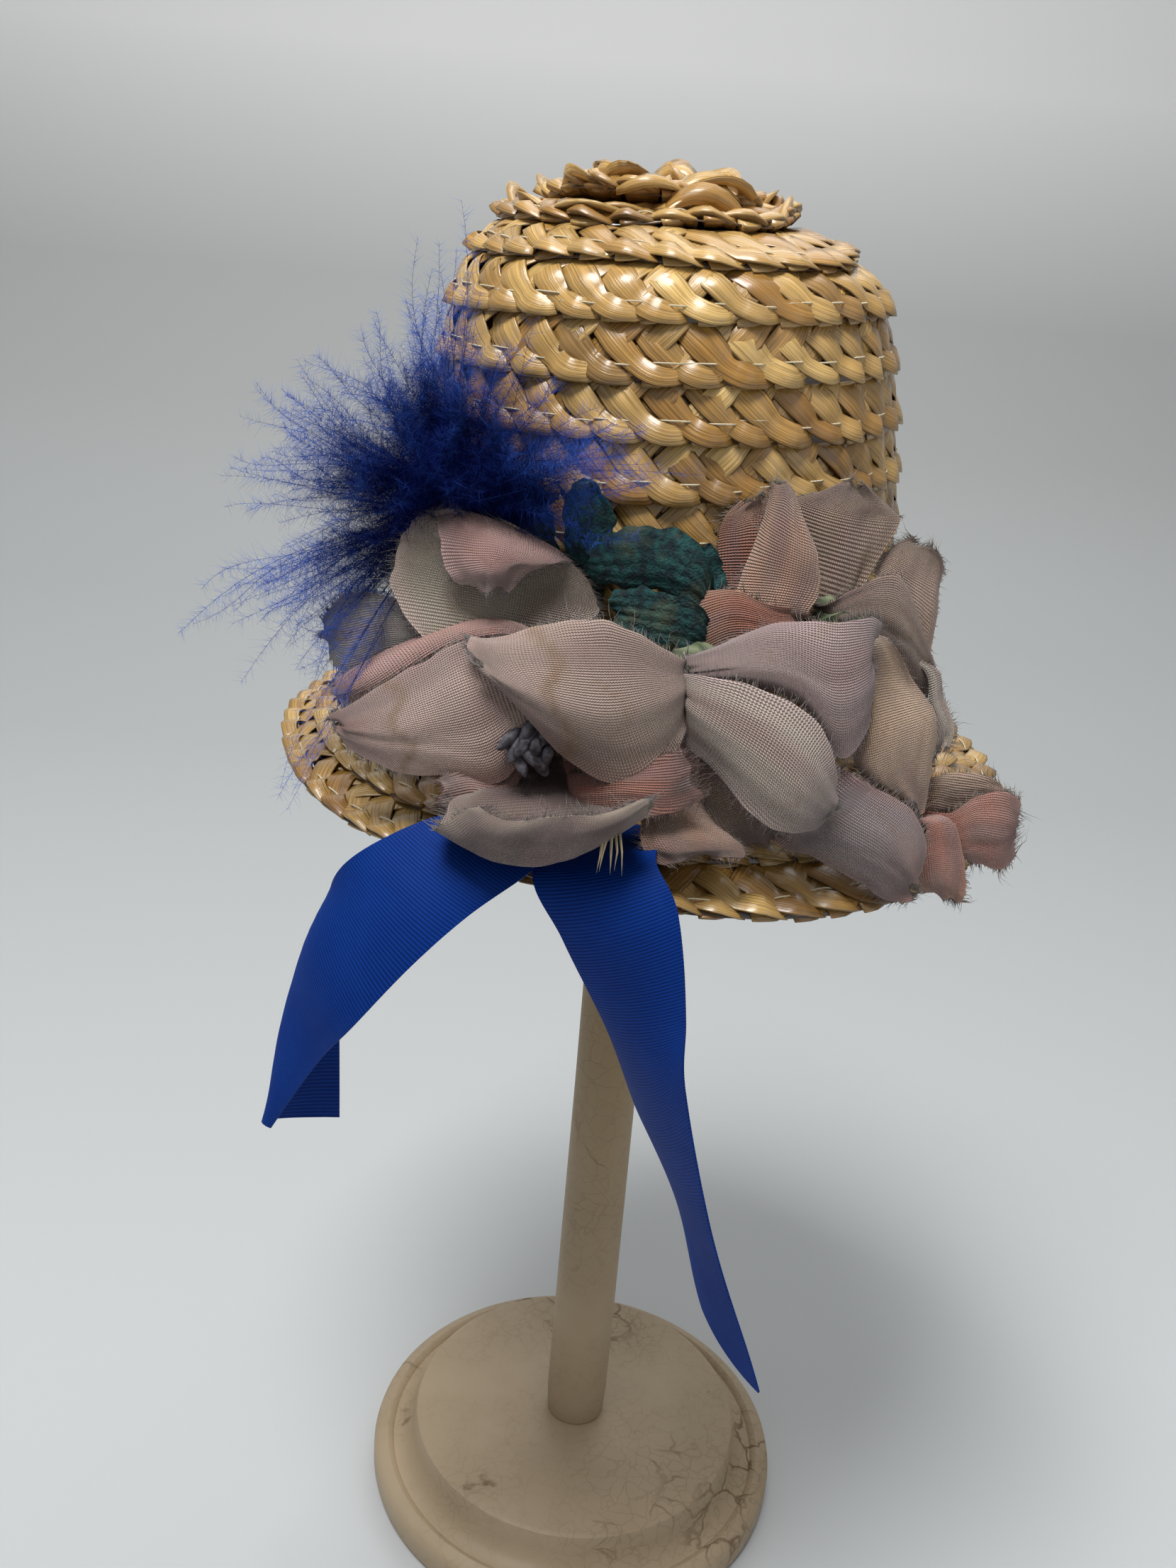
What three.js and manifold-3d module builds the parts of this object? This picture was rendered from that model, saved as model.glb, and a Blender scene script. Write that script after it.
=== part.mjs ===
// Doll's straw hat on a turned wooden stand. Millimetres, +Z up, the front of the hat looks along -Y.
// The origin is the middle of the stand's underside.
import * as THREE from 'three';
import { mergeVertices } from 'three/addons/utils/BufferGeometryUtils.js';
import Module from 'manifold-3d';

const wasm = await Module();
wasm.setup();

// Driving dimensions
const seatGap = 0.3;
const sliver = 0.12;
const roomSliver = 0.16;
const baseRadius = 52;
const baseHeight = 17;
const postRadius = 7.5;
const knobRadius = 27;
const knobDrop = 24;
const crownHeight = 317;
const headlineHeight = 216;
const headlineRadius = 48.6;
const rowPitch = 9.8;
const rowProud = 1.3;
const strawWall = 2;
const crownLean = -0.024;
const brimRadius = 77.5;
const brimEdgeHeight = 203.5;
const brimRows = 4;
const brimWall = 2;
const ribbonWall = 1;
const petalWall = 1.3;
const leafWall = 1.3;
const crownSegments = 24;
const brimSegments = 28;

const colours = {
  paint: 0xa59b82, straw: 0xc8a569, ribbon: 0x143ca0, plume: 0x0f238c, stem: 0x6d7a5c, seed: 0x77707c,
  lilac: 0xb9aaaf, cream: 0xc8beaa, mauve: 0x967882, sage: 0x82877d, rose: 0xb08078, tan: 0xa38a70,
  brown: 0x8a7468, gauze: 0xcfc9c0, leaf: 0x143c3c,
};

const hat = new THREE.Group();

function addPiece(name, geometry, colour, roughness = 0.8) {
  const material = new THREE.MeshStandardMaterial({ color: colours[colour], roughness, metalness: 0 });
  const mesh = new THREE.Mesh(geometry, material);
  mesh.name = name;
  hat.add(mesh);
}

// A closed geometry as a manifold solid, with shared vertices merged and flat triangles dropped.
function solidFrom(geometry) {
  const bare = geometry.clone();
  bare.deleteAttribute('normal');
  bare.deleteAttribute('uv');
  const merged = mergeVertices(bare, 1e-4);
  const index = merged.index.array;
  const triangles = [];
  for (let i = 0; i < index.length; i += 3) {
    const [a, b, c] = [index[i], index[i + 1], index[i + 2]];
    if (a !== b && b !== c && c !== a) triangles.push(a, b, c);
  }
  const vertProperties = Float32Array.from(merged.attributes.position.array);
  const triVerts = Uint32Array.from(triangles);
  return new wasm.Manifold(new wasm.Mesh({ numProp: 3, vertProperties, triVerts }));
}

function geometryFrom(solid) {
  const mesh = solid.getMesh();
  const geometry = new THREE.BufferGeometry();
  geometry.setAttribute('position', new THREE.BufferAttribute(Float32Array.from(mesh.vertProperties), 3));
  geometry.setIndex(Array.from(mesh.triVerts));
  geometry.computeVertexNormals();
  return geometry;
}

// Room taken up so far: each piece with a small gap round it, and the box that it lies in.
const rooms = [];
function boxOf(solid) {
  const { min, max } = solid.boundingBox();
  return new THREE.Box3(new THREE.Vector3(...min), new THREE.Vector3(...max));
}

function claimRoom(solid) {
  const geometry = geometryFrom(solid);
  let room = solid;
  for (const axis of ['x', 'y', 'z']) {
    for (const step of [-seatGap, seatGap]) {
      const shift = new THREE.Vector3();
      shift[axis] = step;
      room = room.add(solidFrom(geometry.clone().translate(...shift.toArray())));
    }
  }
  rooms.push({ room: room.simplify(roomSliver), box: boxOf(room) });
}

// The biggest body that is left of a piece once its neighbours' room is cut away.
function trimmed(solid) {
  const box = boxOf(solid);
  const near = rooms.filter((taken) => taken.box.intersectsBox(box));
  const rest = near.reduce((left, taken) => left.subtract(taken.room), solid);
  const bodies = rest.simplify(sliver).decompose();
  return bodies.reduce((best, body) => (body.volume() > best.volume() ? body : best));
}

// Adds a soft piece, cut back where the pieces before it already are.
function addSoftPiece(name, solid, colour, roughness) {
  const piece = trimmed(solid);
  addPiece(name, geometryFrom(piece), colour, roughness);
  claimRoom(piece);
}

// A turned piece from [radius, height] points that start and end on the axis, or close on themselves.
function turned(profile, segments) {
  const points = profile.map(([radius, height]) => new THREE.Vector2(radius, height));
  return new THREE.LatheGeometry(points, segments).rotateX(Math.PI / 2);
}

// Moves each vertex of a turned piece: shift takes its radius, angle and height, and gives the new radius,
// the new height and a step along X.
function reshaped(geometry, shift) {
  const position = geometry.attributes.position;
  for (let i = 0; i < position.count; i += 1) {
    const [x, y, z] = [position.getX(i), position.getY(i), position.getZ(i)];
    const moved = shift(Math.hypot(x, y), Math.atan2(y, x), z);
    const scale = Math.hypot(x, y) > 0 ? moved.radius / Math.hypot(x, y) : 0;
    position.setXYZ(i, x * scale + moved.side, y * scale, moved.height);
  }
  return geometry;
}

// A thin wall around a surface, a grid of points and normals, closed round its edge.
function walled(surface, uSteps, vSteps, wall) {
  const points = [];
  for (const side of [0.5, -0.5]) {
    for (let i = 0; i <= uSteps; i += 1) {
      for (let j = 0; j <= vSteps; j += 1) {
        const { point, normal } = surface(i / uSteps, (2 * j) / vSteps - 1);
        points.push(...point.clone().addScaledVector(normal, side * wall).toArray());
      }
    }
  }
  const layer = (uSteps + 1) * (vSteps + 1);
  const at = (side, i, j) => side * layer + i * (vSteps + 1) + j;
  const triangles = [];
  const quad = (a, b, c, d) => triangles.push(a, b, c, a, c, d);
  for (let i = 0; i < uSteps; i += 1) {
    for (let j = 0; j < vSteps; j += 1) {
      quad(at(0, i, j), at(0, i, j + 1), at(0, i + 1, j + 1), at(0, i + 1, j));
      quad(at(1, i, j), at(1, i + 1, j), at(1, i + 1, j + 1), at(1, i, j + 1));
    }
    quad(at(0, i, 0), at(0, i + 1, 0), at(1, i + 1, 0), at(1, i, 0));
    quad(at(0, i, vSteps), at(1, i, vSteps), at(1, i + 1, vSteps), at(0, i + 1, vSteps));
  }
  for (let j = 0; j < vSteps; j += 1) {
    quad(at(0, 0, j), at(1, 0, j), at(1, 0, j + 1), at(0, 0, j + 1));
    quad(at(0, uSteps, j), at(0, uSteps, j + 1), at(1, uSteps, j + 1), at(1, uSteps, j));
  }
  const geometry = new THREE.BufferGeometry();
  geometry.setAttribute('position', new THREE.BufferAttribute(new Float32Array(points), 3));
  geometry.setIndex(triangles);
  const solid = solidFrom(geometry);
  if (solid.volume() > 0) return solid;
  for (let i = 0; i < triangles.length; i += 3) {
    [triangles[i], triangles[i + 1]] = [triangles[i + 1], triangles[i]];
  }
  geometry.setIndex(triangles);
  return solidFrom(geometry);
}

// A tube along a curve, its radius running evenly from startRadius to endRadius.
function taperedTube(curve, startRadius, endRadius, steps, sides) {
  const frames = curve.computeFrenetFrames(steps);
  const points = [];
  const triangles = [];
  for (let i = 0; i <= steps; i += 1) {
    const centre = curve.getPointAt(i / steps);
    const radius = startRadius + (endRadius - startRadius) * (i / steps);
    for (let j = 0; j < sides; j += 1) {
      const turn = (2 * Math.PI * j) / sides;
      const rim = centre.clone();
      rim.addScaledVector(frames.normals[i], radius * Math.cos(turn));
      rim.addScaledVector(frames.binormals[i], radius * Math.sin(turn));
      points.push(...rim.toArray());
    }
  }
  const at = (i, j) => i * sides + (j % sides);
  for (let i = 0; i < steps; i += 1) {
    for (let j = 0; j < sides; j += 1) {
      triangles.push(at(i, j), at(i, j + 1), at(i + 1, j + 1), at(i, j), at(i + 1, j + 1), at(i + 1, j));
    }
  }
  for (let j = 1; j < sides - 1; j += 1) {
    triangles.push(at(0, 0), at(0, j + 1), at(0, j), at(steps, 0), at(steps, j), at(steps, j + 1));
  }
  const geometry = new THREE.BufferGeometry();
  geometry.setAttribute('position', new THREE.BufferAttribute(new Float32Array(points), 3));
  geometry.setIndex(triangles);
  return solidFrom(geometry);
}

// Stand: a turned foot with a beaded rim and a raised platform, and a post that ends in a plain knob.
const platformRadius = 41;
const rimHeight = 8;
const beadInset = 4;
addPiece('stand_base', turned([
  [0, 0], [baseRadius - 2, 0], [baseRadius, 2], [baseRadius, rimHeight - 2], [baseRadius - 1, rimHeight],
  [baseRadius - beadInset, rimHeight + 0.8], [baseRadius - beadInset - 1, rimHeight - 0.2],
  [platformRadius + 2, rimHeight + 1.5], [platformRadius + 0.5, baseHeight - 1.5],
  [platformRadius - 1, baseHeight],
  [0, baseHeight],
], 26), 'paint', 0.75);

// Crown: the outline of the braid, from the headline to the tip, as [height, radius] stations.
const crownStations = [
  [headlineHeight, headlineRadius], [235, 48.1], [255, 47], [265, 46], [273, 45], [282, 43.6], [290, 42],
  [298, 40], [304, 35.5], [309, 28], [312.5, 20], [crownHeight - 2, 11], [crownHeight - 3, 0],
];

function crownRadius(height) {
  for (let i = 1; i < crownStations.length; i += 1) {
    const [lowHeight, lowRadius] = crownStations[i - 1];
    const [highHeight, highRadius] = crownStations[i];
    if (height <= highHeight) {
      return lowRadius + ((highRadius - lowRadius) * (height - lowHeight)) / (highHeight - lowHeight);
    }
  }
  return 0;
}

// The rosette at the tip, as [radius, drop below the top]: its stepped rows, and its top with a recess.
const rosetteRows = [[41.6, 22.5], [39, 17], [37.5, 14.5], [31, 10.5], [29, 7], [20, 4.5]];
const rosetteTop = [[17, 1], [9, 0], [0, 3]];

// Each row's lower edge stands proud over the row below it.
function crownProfile(grow) {
  const outer = [];
  const sideRows = 8;
  for (let row = 0; row < sideRows; row += 1) {
    const low = headlineHeight + seatGap + row * rowPitch;
    const high = low + rowPitch;
    outer.push([crownRadius(low) + rowProud + grow, low], [crownRadius(high) + grow, high - 0.4]);
  }
  outer.push(...rosetteRows.map(([radius, drop]) => [radius + grow, crownHeight - drop]));
  outer.push(...rosetteTop.map(([radius, drop]) => [radius, crownHeight + grow - drop]));
  return outer;
}

// Lumps of the rosette and the slight lean of the crown.
function crownShift(radius, angle, height) {
  const tip = THREE.MathUtils.smoothstep(height, 288, 310);
  const lump = tip * (1.2 * Math.sin(3 * angle + 0.6) + 0.8 * Math.sin(7 * angle + 2));
  const fade = Math.min(1, radius / 12);
  const side = crownLean * Math.max(0, height - headlineHeight);
  return { radius: radius + 0.4 * lump * fade, height: height + lump * fade, side };
}

const innerTop = crownHeight - 3 - strawWall;
const innerStations = [
  [0, innerTop], [18, innerTop - 2.5], [27, 303], [34, 298], [39.5, 289], [42.5, 273], [44.6, 255],
  [headlineRadius - strawWall, headlineHeight + seatGap],
];
const crownShell = turned([...innerStations, ...crownProfile(0)], crownSegments);
addPiece('crown', reshaped(crownShell, crownShift), 'straw', 0.55);
const crownRoom = solidFrom(reshaped(
  turned([[0, headlineHeight], ...crownProfile(seatGap + 0.1)], crownSegments), crownShift));
rooms.push({ room: crownRoom, box: boxOf(crownRoom) });

const knobTop = innerTop - seatGap;
addPiece('stand_post', reshaped(turned([
  [0, baseHeight + seatGap], [postRadius, baseHeight + seatGap], [postRadius, knobTop - knobDrop],
  [knobRadius - 5, knobTop - knobDrop + 3], [knobRadius, knobTop - knobDrop + 8],
  [knobRadius - 4, knobTop - 10],
  [14, knobTop - 5], [5, knobTop - 1], [0, knobTop],
], 20), (radius, angle, height) => {
  const side = crownLean * Math.max(0, height - headlineHeight);
  return { radius, height, side };
}), 'paint', 0.75);

// Brim: braid rows that step down from the headline to the edge.
function brimProfile() {
  const drop = headlineHeight - brimEdgeHeight;
  const top = [];
  for (let row = 0; row < brimRows; row += 1) {
    const [near, far] = [row / brimRows, (row + 1) / brimRows];
    const innerRadius = headlineRadius - strawWall;
    const radiusAt = (part) => innerRadius + part * (brimRadius - innerRadius);
    const heightAt = (part) => headlineHeight - drop * part ** 0.85;
    top.push([radiusAt(near) + 0.6 * Math.sign(row), heightAt(near) - (row ? rowProud * 0.8 : 0)]);
    top.push([radiusAt(far), heightAt(far)]);
  }
  const under = top.map(([radius, height]) => [radius, height - brimWall]).reverse();
  return [...top, ...under, top[0]];
}

// The edge is lower and wider at the front right, and narrower at the back left.
const brimDroop = { bearing: -0.8, drop: 5.5, spread: 2.8, waves: 5, wave: 0.7 };
function brimShift(radius, angle, height) {
  const part = THREE.MathUtils.clamp((radius - headlineRadius) / (brimRadius - headlineRadius), 0, 1);
  const toward = Math.cos(angle - brimDroop.bearing);
  const wave = brimDroop.wave * Math.sin(brimDroop.waves * angle + 1);
  const lowered = part * part * (brimDroop.drop * Math.max(0, toward) ** 3 + wave);
  return { radius: radius + part * brimDroop.spread * toward, height: height - lowered, side: 0 };
}
const brimGeometry = reshaped(turned(brimProfile().reverse(), brimSegments), brimShift);
addPiece('brim', brimGeometry, 'straw', 0.55);
claimRoom(solidFrom(brimGeometry));

// Sheets of cloth run through rows of three points: one edge, the middle and the other edge.
function rowsSurface(rows) {
  const lines = [0, 1, 2].map(
    (place) => new THREE.CatmullRomCurve3(rows.map((row) => new THREE.Vector3(...row[place]))));
  const pointAt = (u, v) => {
    const [first, middle, second] = lines.map((line) => line.getPoint(THREE.MathUtils.clamp(u, 0, 1)));
    return first.multiplyScalar((v * (v - 1)) / 2)
      .addScaledVector(middle, 1 - v * v)
      .addScaledVector(second, (v * (v + 1)) / 2);
  };
  const step = 0.01;
  return (u, v) => {
    const along = pointAt(Math.min(u + step, 1), v).sub(pointAt(Math.max(u - step, 0), v));
    const crosswise = pointAt(u, v + step).sub(pointAt(u, v - step));
    return { point: pointAt(u, v), normal: along.cross(crosswise).normalize() };
  };
}

// Ribbon tails, from under the flowers to the cut end.
const ribbonSteps = [14, 2];
const ribbonTails = {
  ribbon_tail_left: [
    [[-23, -57, 210], [-16, -60, 210], [-9, -62, 210]],
    [[-34, -72, 214], [-26, -77, 211], [-19, -80, 208]],
    [[-44, -76, 210], [-36, -82, 206], [-28, -85, 202]],
    [[-51, -74, 203], [-45, -83, 199], [-37, -88, 193]],
    [[-54, -67, 193], [-54, -78, 191], [-46, -88, 181]],
    [[-53, -62, 178], [-60, -72, 177], [-53, -83, 170]],
    [[-52, -65, 147], [-63, -73, 151], [-62, -77, 152]],
  ],
  ribbon_tail_right: [
    [[-13, -59, 210], [-4, -60, 210], [6, -60, 210]],
    [[-18, -79, 208], [-8, -80, 210], [2, -80, 213]],
    [[-12, -82, 198], [-3, -86, 202], [6, -87, 207]],
    [[-4, -78, 180], [2, -85, 184], [9, -91, 190]],
    [[3, -74, 162], [6, -84, 167], [10, -93, 177]],
    [[11, -73, 145], [13, -83, 148], [16, -93, 154]],
    [[20, -73, 117], [24, -82, 114], [30, -91, 113]],
  ],
};
for (const [name, rows] of Object.entries(ribbonTails)) {
  addSoftPiece(name, walled(rowsSurface(rows), ...ribbonSteps, ribbonWall), 'ribbon', 0.6);
}

// Flower stems: bound stalks from the crown to the hearts of the flowers.
const stems = [
  { name: 'flower_stem_left', from: [-15, -40, 234], to: [-17, -66, 233], thick: 9, thin: 5.5 },
  { name: 'flower_stem_middle', from: [7, -42, 240], to: [6, -69, 239], thick: 8, thin: 4.5 },
  { name: 'flower_stem_right', from: [25, -34, 246], to: [31, -53, 245], thick: 8, thin: 5 },
];
for (const stem of stems) {
  const line = new THREE.LineCurve3(new THREE.Vector3(...stem.from), new THREE.Vector3(...stem.to));
  addSoftPiece(stem.name, taperedTube(line, stem.thick, stem.thin, 2, 8), 'stem', 0.9);
}

// Petals and leaves, front ones first. Each runs to its tip from a root on a stem, the brim or another petal.
const petals = [
  { name: 'petal_right_front', tint: 'cream', rows: [
    [[7, -66, 239], [7, -66, 237], [7, -66, 235]],
    [[4, -70, 242], [5, -72, 237], [5, -70, 230]],
    [[13, -71, 241], [12, -75, 234], [11, -72, 226]],
    [[22, -71, 238], [19, -77, 231], [17, -74, 221]],
    [[28, -71, 233], [25, -77, 227], [23, -75, 218]],
    [[31, -72, 227], [29, -75, 223], [28, -74, 218]],
    [[31, -73, 223], [31, -74, 222], [30, -74, 220]],
  ] },
  { name: 'petal_centre', tint: 'lilac', rows: [
    [[4, -66, 242], [4, -66, 240], [4, -66, 238]],
    [[3, -70, 244], [4, -72, 240], [5, -70, 234]],
    [[-4, -71, 248], [-1, -75, 239], [3, -72, 228]],
    [[-11, -69, 249], [-8, -76, 238], [-4, -73, 223]],
    [[-19, -67, 247], [-16, -76, 239], [-13, -73, 226]],
    [[-28, -65, 244], [-25, -73, 240], [-22, -72, 233]],
    [[-33, -64, 243], [-31, -69, 242], [-30, -70, 240]],
  ] },
  { name: 'petal_left_front', tint: 'lilac', rows: [
    [[-15, -62, 237], [-15, -63, 235], [-15, -64, 233]],
    [[-22, -64, 243], [-20, -69, 237], [-19, -68, 228]],
    [[-33, -62, 242], [-29, -69, 232], [-25, -68, 219]],
    [[-40, -60, 237], [-37, -67, 229], [-35, -66, 219]],
    [[-47, -58, 231], [-45, -64, 226], [-43, -63, 218]],
    [[-53, -57, 226], [-52, -61, 224], [-51, -60, 220]],
    [[-56, -56, 224], [-55, -57, 223], [-55, -57, 222]],
  ] },
  { name: 'petal_right_upper', tint: 'lilac', rows: [
    [[7, -63, 244], [8, -64, 242], [9, -65, 240]],
    [[4, -68, 244], [5, -69, 242], [6, -69, 241]],
    [[11, -66, 247], [13, -70, 244], [15, -69, 240]],
    [[19, -64, 250], [21, -69, 244], [24, -68, 237]],
    [[28, -62, 250], [29, -67, 240], [32, -66, 228]],
    [[34, -60, 251], [35, -64, 242], [36, -63, 232]],
    [[37, -58, 249], [36, -60, 245], [36, -60, 239]],
  ] },
  { name: 'petal_cup', tint: 'mauve', rows: [
    [[-18, -62, 228], [-16, -62, 228], [-14, -62, 228]],
    [[-27, -62, 219], [-20, -60, 219], [-13, -62, 220]],
    [[-32, -73, 218], [-18, -70, 218], [-4, -72, 219]],
    [[-34, -82, 216], [-18, -86, 213], [-1, -82, 221]],
    [[-31, -86, 220], [-16, -91, 219], [0, -86, 225]],
    [[-27, -87, 223], [-15, -91, 224], [-2, -86, 226]],
  ] },
  { name: 'petal_cup_side', tint: 'rose', rows: [
    [[-12, -61, 232], [-12, -62, 230], [-12, -63, 228]],
    [[-14, -67, 222], [-13, -69, 220], [-13, -69, 217]],
    [[-4, -71, 225], [-4, -75, 223], [-3, -75, 219]],
    [[3, -74, 229], [3, -77, 225], [3, -77, 220]],
    [[5, -74, 230], [7, -76, 227], [9, -76, 223]],
  ] },
  { name: 'petal_left_lip', tint: 'rose', rows: [
    [[-16, -61, 239], [-17, -62, 237], [-18, -63, 235]],
    [[-22, -58, 244], [-23, -60, 243], [-23, -59, 241]],
    [[-31, -54, 244], [-31, -60, 243], [-32, -59, 240]],
    [[-41, -52, 239], [-39, -58, 239], [-38, -57, 235]],
    [[-50, -49, 233], [-48, -55, 232], [-46, -54, 229]],
    [[-56, -47, 228], [-55, -51, 227], [-54, -50, 225]],
    [[-58, -47, 227], [-57, -48, 226], [-57, -48, 225]],
  ] },
  { name: 'petal_left_upper', tint: 'lilac', rows: [
    [[-19, -58, 236], [-17, -58, 236], [-15, -58, 236]],
    [[-39, -55, 238], [-27, -57, 240], [-16, -57, 241]],
    [[-47, -50, 246], [-29, -54, 247], [-11, -54, 246]],
    [[-46, -49, 253], [-29, -53, 252], [-12, -53, 249]],
    [[-44, -48, 258], [-30, -52, 257], [-16, -52, 254]],
    [[-41, -48, 261], [-34, -50, 261], [-27, -51, 260]],
  ] },
  { name: 'petal_left_fold', tint: 'rose', rows: [
    [[-40, -48, 261], [-29, -51, 260], [-16, -52, 255]],
    [[-39, -53, 258], [-28, -58, 257], [-18, -56, 255]],
    [[-36, -56, 252], [-29, -61, 254], [-23, -58, 254]],
    [[-32, -57, 249], [-29, -60, 250], [-26, -59, 250]],
  ] },
  { name: 'petal_left_back', tint: 'sage', rows: [
    [[-19, -54, 239], [-20, -54, 237], [-21, -54, 235]],
    [[-33, -51, 243], [-34, -52, 239], [-36, -51, 235]],
    [[-46, -47, 244], [-46, -49, 239], [-46, -49, 233]],
    [[-55, -42, 243], [-55, -45, 236], [-55, -45, 229]],
    [[-60, -39, 238], [-59, -41, 235], [-58, -42, 230]],
    [[-61, -38, 235], [-61, -39, 234], [-60, -39, 232]],
  ] },
  { name: 'petal_right_lower', tint: 'mauve', rows: [
    [[10, -62, 237], [9, -62, 236], [8, -62, 235]],
    [[33, -64, 225], [27, -66, 219], [22, -66, 213]],
    [[39, -65, 223], [33, -69, 217], [29, -68, 210]],
    [[46, -64, 219], [41, -69, 214], [37, -68, 206]],
    [[49, -64, 213], [46, -68, 209], [43, -67, 203]],
    [[49, -65, 206], [48, -66, 205], [48, -66, 203]],
  ] },
  { name: 'petal_right_amber', tint: 'tan', rows: [
    [[29, -48, 243], [31, -48, 243], [33, -48, 243]],
    [[34, -56, 246], [36, -56, 246], [39, -55, 246]],
    [[35, -58, 239], [39, -57, 239], [46, -50, 237]],
    [[34, -61, 230], [42, -60, 232], [51, -50, 231]],
    [[37, -62, 223], [43, -61, 224], [51, -53, 223]],
    [[45, -60, 219], [47, -59, 217], [50, -57, 215]],
  ] },
  { name: 'petal_shadow_rose', tint: 'rose', rows: [
    [[3, -62, 235], [5, -62, 235], [7, -62, 235]],
    [[1, -66, 221], [5, -67, 221], [9, -66, 221]],
    [[-1, -71, 217], [5, -73, 218], [11, -70, 217]],
    [[0, -76, 213], [8, -78, 215], [16, -74, 214]],
    [[4, -77, 211], [10, -78, 213], [16, -75, 212]],
  ] },
  { name: 'petal_shadow_grey', tint: 'brown', rows: [
    [[8, -62, 238], [8, -62, 236], [8, -62, 234]],
    [[7, -63, 227], [6, -64, 225], [6, -64, 222]],
    [[14, -66, 223], [12, -67, 221], [9, -66, 218]],
    [[22, -68, 217], [18, -69, 216], [14, -68, 213]],
    [[24, -69, 214], [21, -70, 213], [18, -69, 211]],
  ] },
  { name: 'petal_rear_frayed', tint: 'rose', rows: [
    [[29, -48, 248], [29, -48, 246], [29, -48, 244]],
    [[19, -58, 251], [20, -59, 248], [20, -59, 245]],
    [[12, -57, 253], [12, -59, 249], [12, -60, 244]],
    [[6, -56, 252], [6, -59, 247], [7, -60, 242]],
    [[4, -57, 251], [5, -58, 248], [5, -58, 245]],
  ] },
  { name: 'petal_rear_rose', tint: 'rose', rows: [
    [[27, -48, 247], [29, -48, 247], [31, -48, 247]],
    [[13, -55, 248], [19, -57, 249], [25, -55, 249]],
    [[13, -54, 254], [19, -56, 255], [26, -54, 254]],
    [[15, -52, 263], [19, -55, 262], [25, -53, 260]],
    [[16, -50, 269], [19, -52, 269], [21, -51, 268]],
    [[17, -49, 270], [18, -50, 270], [19, -50, 270]],
  ] },
  { name: 'petal_rear_tan', tint: 'rose', rows: [
    [[25, -45, 246], [27, -45, 246], [29, -45, 246]],
    [[12, -50, 246], [16, -51, 247], [19, -50, 247]],
    [[10, -48, 253], [15, -49, 254], [19, -49, 254]],
    [[9, -47, 261], [13, -48, 263], [18, -48, 264]],
    [[12, -47, 266], [14, -48, 267], [17, -47, 268]],
  ] },
  { name: 'petal_rear_brown', tint: 'brown', rows: [
    [[26, -47, 249], [27, -47, 247], [28, -47, 245]],
    [[28, -53, 251], [30, -53, 248], [32, -52, 244]],
    [[34, -50, 254], [36, -51, 249], [38, -49, 243]],
    [[41, -46, 255], [43, -48, 246], [46, -45, 236]],
    [[47, -43, 247], [48, -44, 240], [50, -42, 232]],
    [[50, -41, 240], [50, -42, 237], [51, -41, 234]],
  ] },
  { name: 'petal_rear_edge', tint: 'tan', rows: [
    [[29, -47, 248], [30, -46, 247], [31, -45, 246]],
    [[38, -45, 246], [43, -43, 241], [49, -40, 235]],
    [[38, -43, 252], [44, -42, 247], [51, -37, 241]],
    [[38, -40, 256], [44, -40, 254], [51, -35, 251]],
    [[41, -38, 259], [45, -38, 258], [51, -34, 255]],
    [[44, -37, 260], [46, -37, 259], [49, -35, 258]],
  ] },
  { name: 'petal_rear_grey', tint: 'tan', rows: [
    [[26, -44, 247], [28, -44, 247], [30, -44, 247]],
    [[23, -48, 247], [28, -48, 247], [33, -46, 248]],
    [[22, -45, 256], [29, -46, 256], [37, -42, 255]],
    [[21, -44, 265], [30, -45, 264], [41, -38, 263]],
    [[24, -44, 268], [31, -44, 267], [40, -38, 265]],
    [[29, -43, 270], [31, -43, 270], [33, -42, 270]],
  ] },
  { name: 'petal_right_gauze', tint: 'gauze', rows: [
    [[30, -49, 243], [32, -48, 243], [34, -47, 243]],
    [[47, -45, 239], [48, -45, 239], [50, -44, 239]],
    [[50, -45, 231], [51, -46, 232], [53, -43, 233]],
    [[51, -46, 225], [53, -46, 227], [55, -44, 228]],
    [[53, -46, 222], [53, -46, 223], [55, -45, 224]],
  ] },
  { name: 'petal_brim_fold', tint: 'rose', rows: [
    [[45, -42, 210], [46, -42, 208], [47, -42, 206]],
    [[55, -52, 214], [56, -53, 210], [58, -53, 206]],
    [[61, -50, 217], [61, -52, 211], [63, -51, 204]],
    [[67, -47, 217], [67, -49, 210], [68, -48, 202]],
    [[69, -46, 214], [70, -47, 210], [70, -46, 205]],
  ] },
  { name: 'petal_brim_upper', tint: 'tan', rows: [
    [[44, -39, 211], [44, -39, 209], [44, -39, 207]],
    [[52, -48, 219], [52, -49, 216], [52, -49, 212]],
    [[57, -47, 220], [57, -48, 216], [57, -48, 212]],
    [[63, -45, 219], [63, -46, 216], [63, -46, 213]],
    [[67, -44, 216], [67, -45, 216], [67, -45, 215]],
  ] },
  { name: 'petal_brim_lower', tint: 'rose', rows: [
    [[40, -47, 208], [42, -46, 208], [44, -45, 208]],
    [[49, -58, 214], [51, -58, 215], [55, -54, 214]],
    [[49, -60, 209], [53, -60, 210], [58, -56, 208]],
    [[50, -60, 203], [54, -61, 204], [59, -57, 202]],
    [[54, -59, 201], [56, -59, 200], [59, -58, 199]],
  ] },
  { name: 'leaf_lower', tint: 'leaf', rows: [
    [[9, -56, 242], [9, -56, 240], [9, -56, 238]],
    [[6, -60, 251], [6, -61, 247], [6, -61, 243]],
    [[-3, -58, 252], [-2, -60, 248], [-2, -61, 244]],
    [[-10, -57, 251], [-9, -58, 248], [-9, -59, 245]],
  ] },
  { name: 'leaf_middle', tint: 'leaf', rows: [
    [[9, -50, 245], [9, -50, 243], [9, -50, 241]],
    [[6, -55, 258], [6, -57, 254], [6, -57, 250]],
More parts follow.
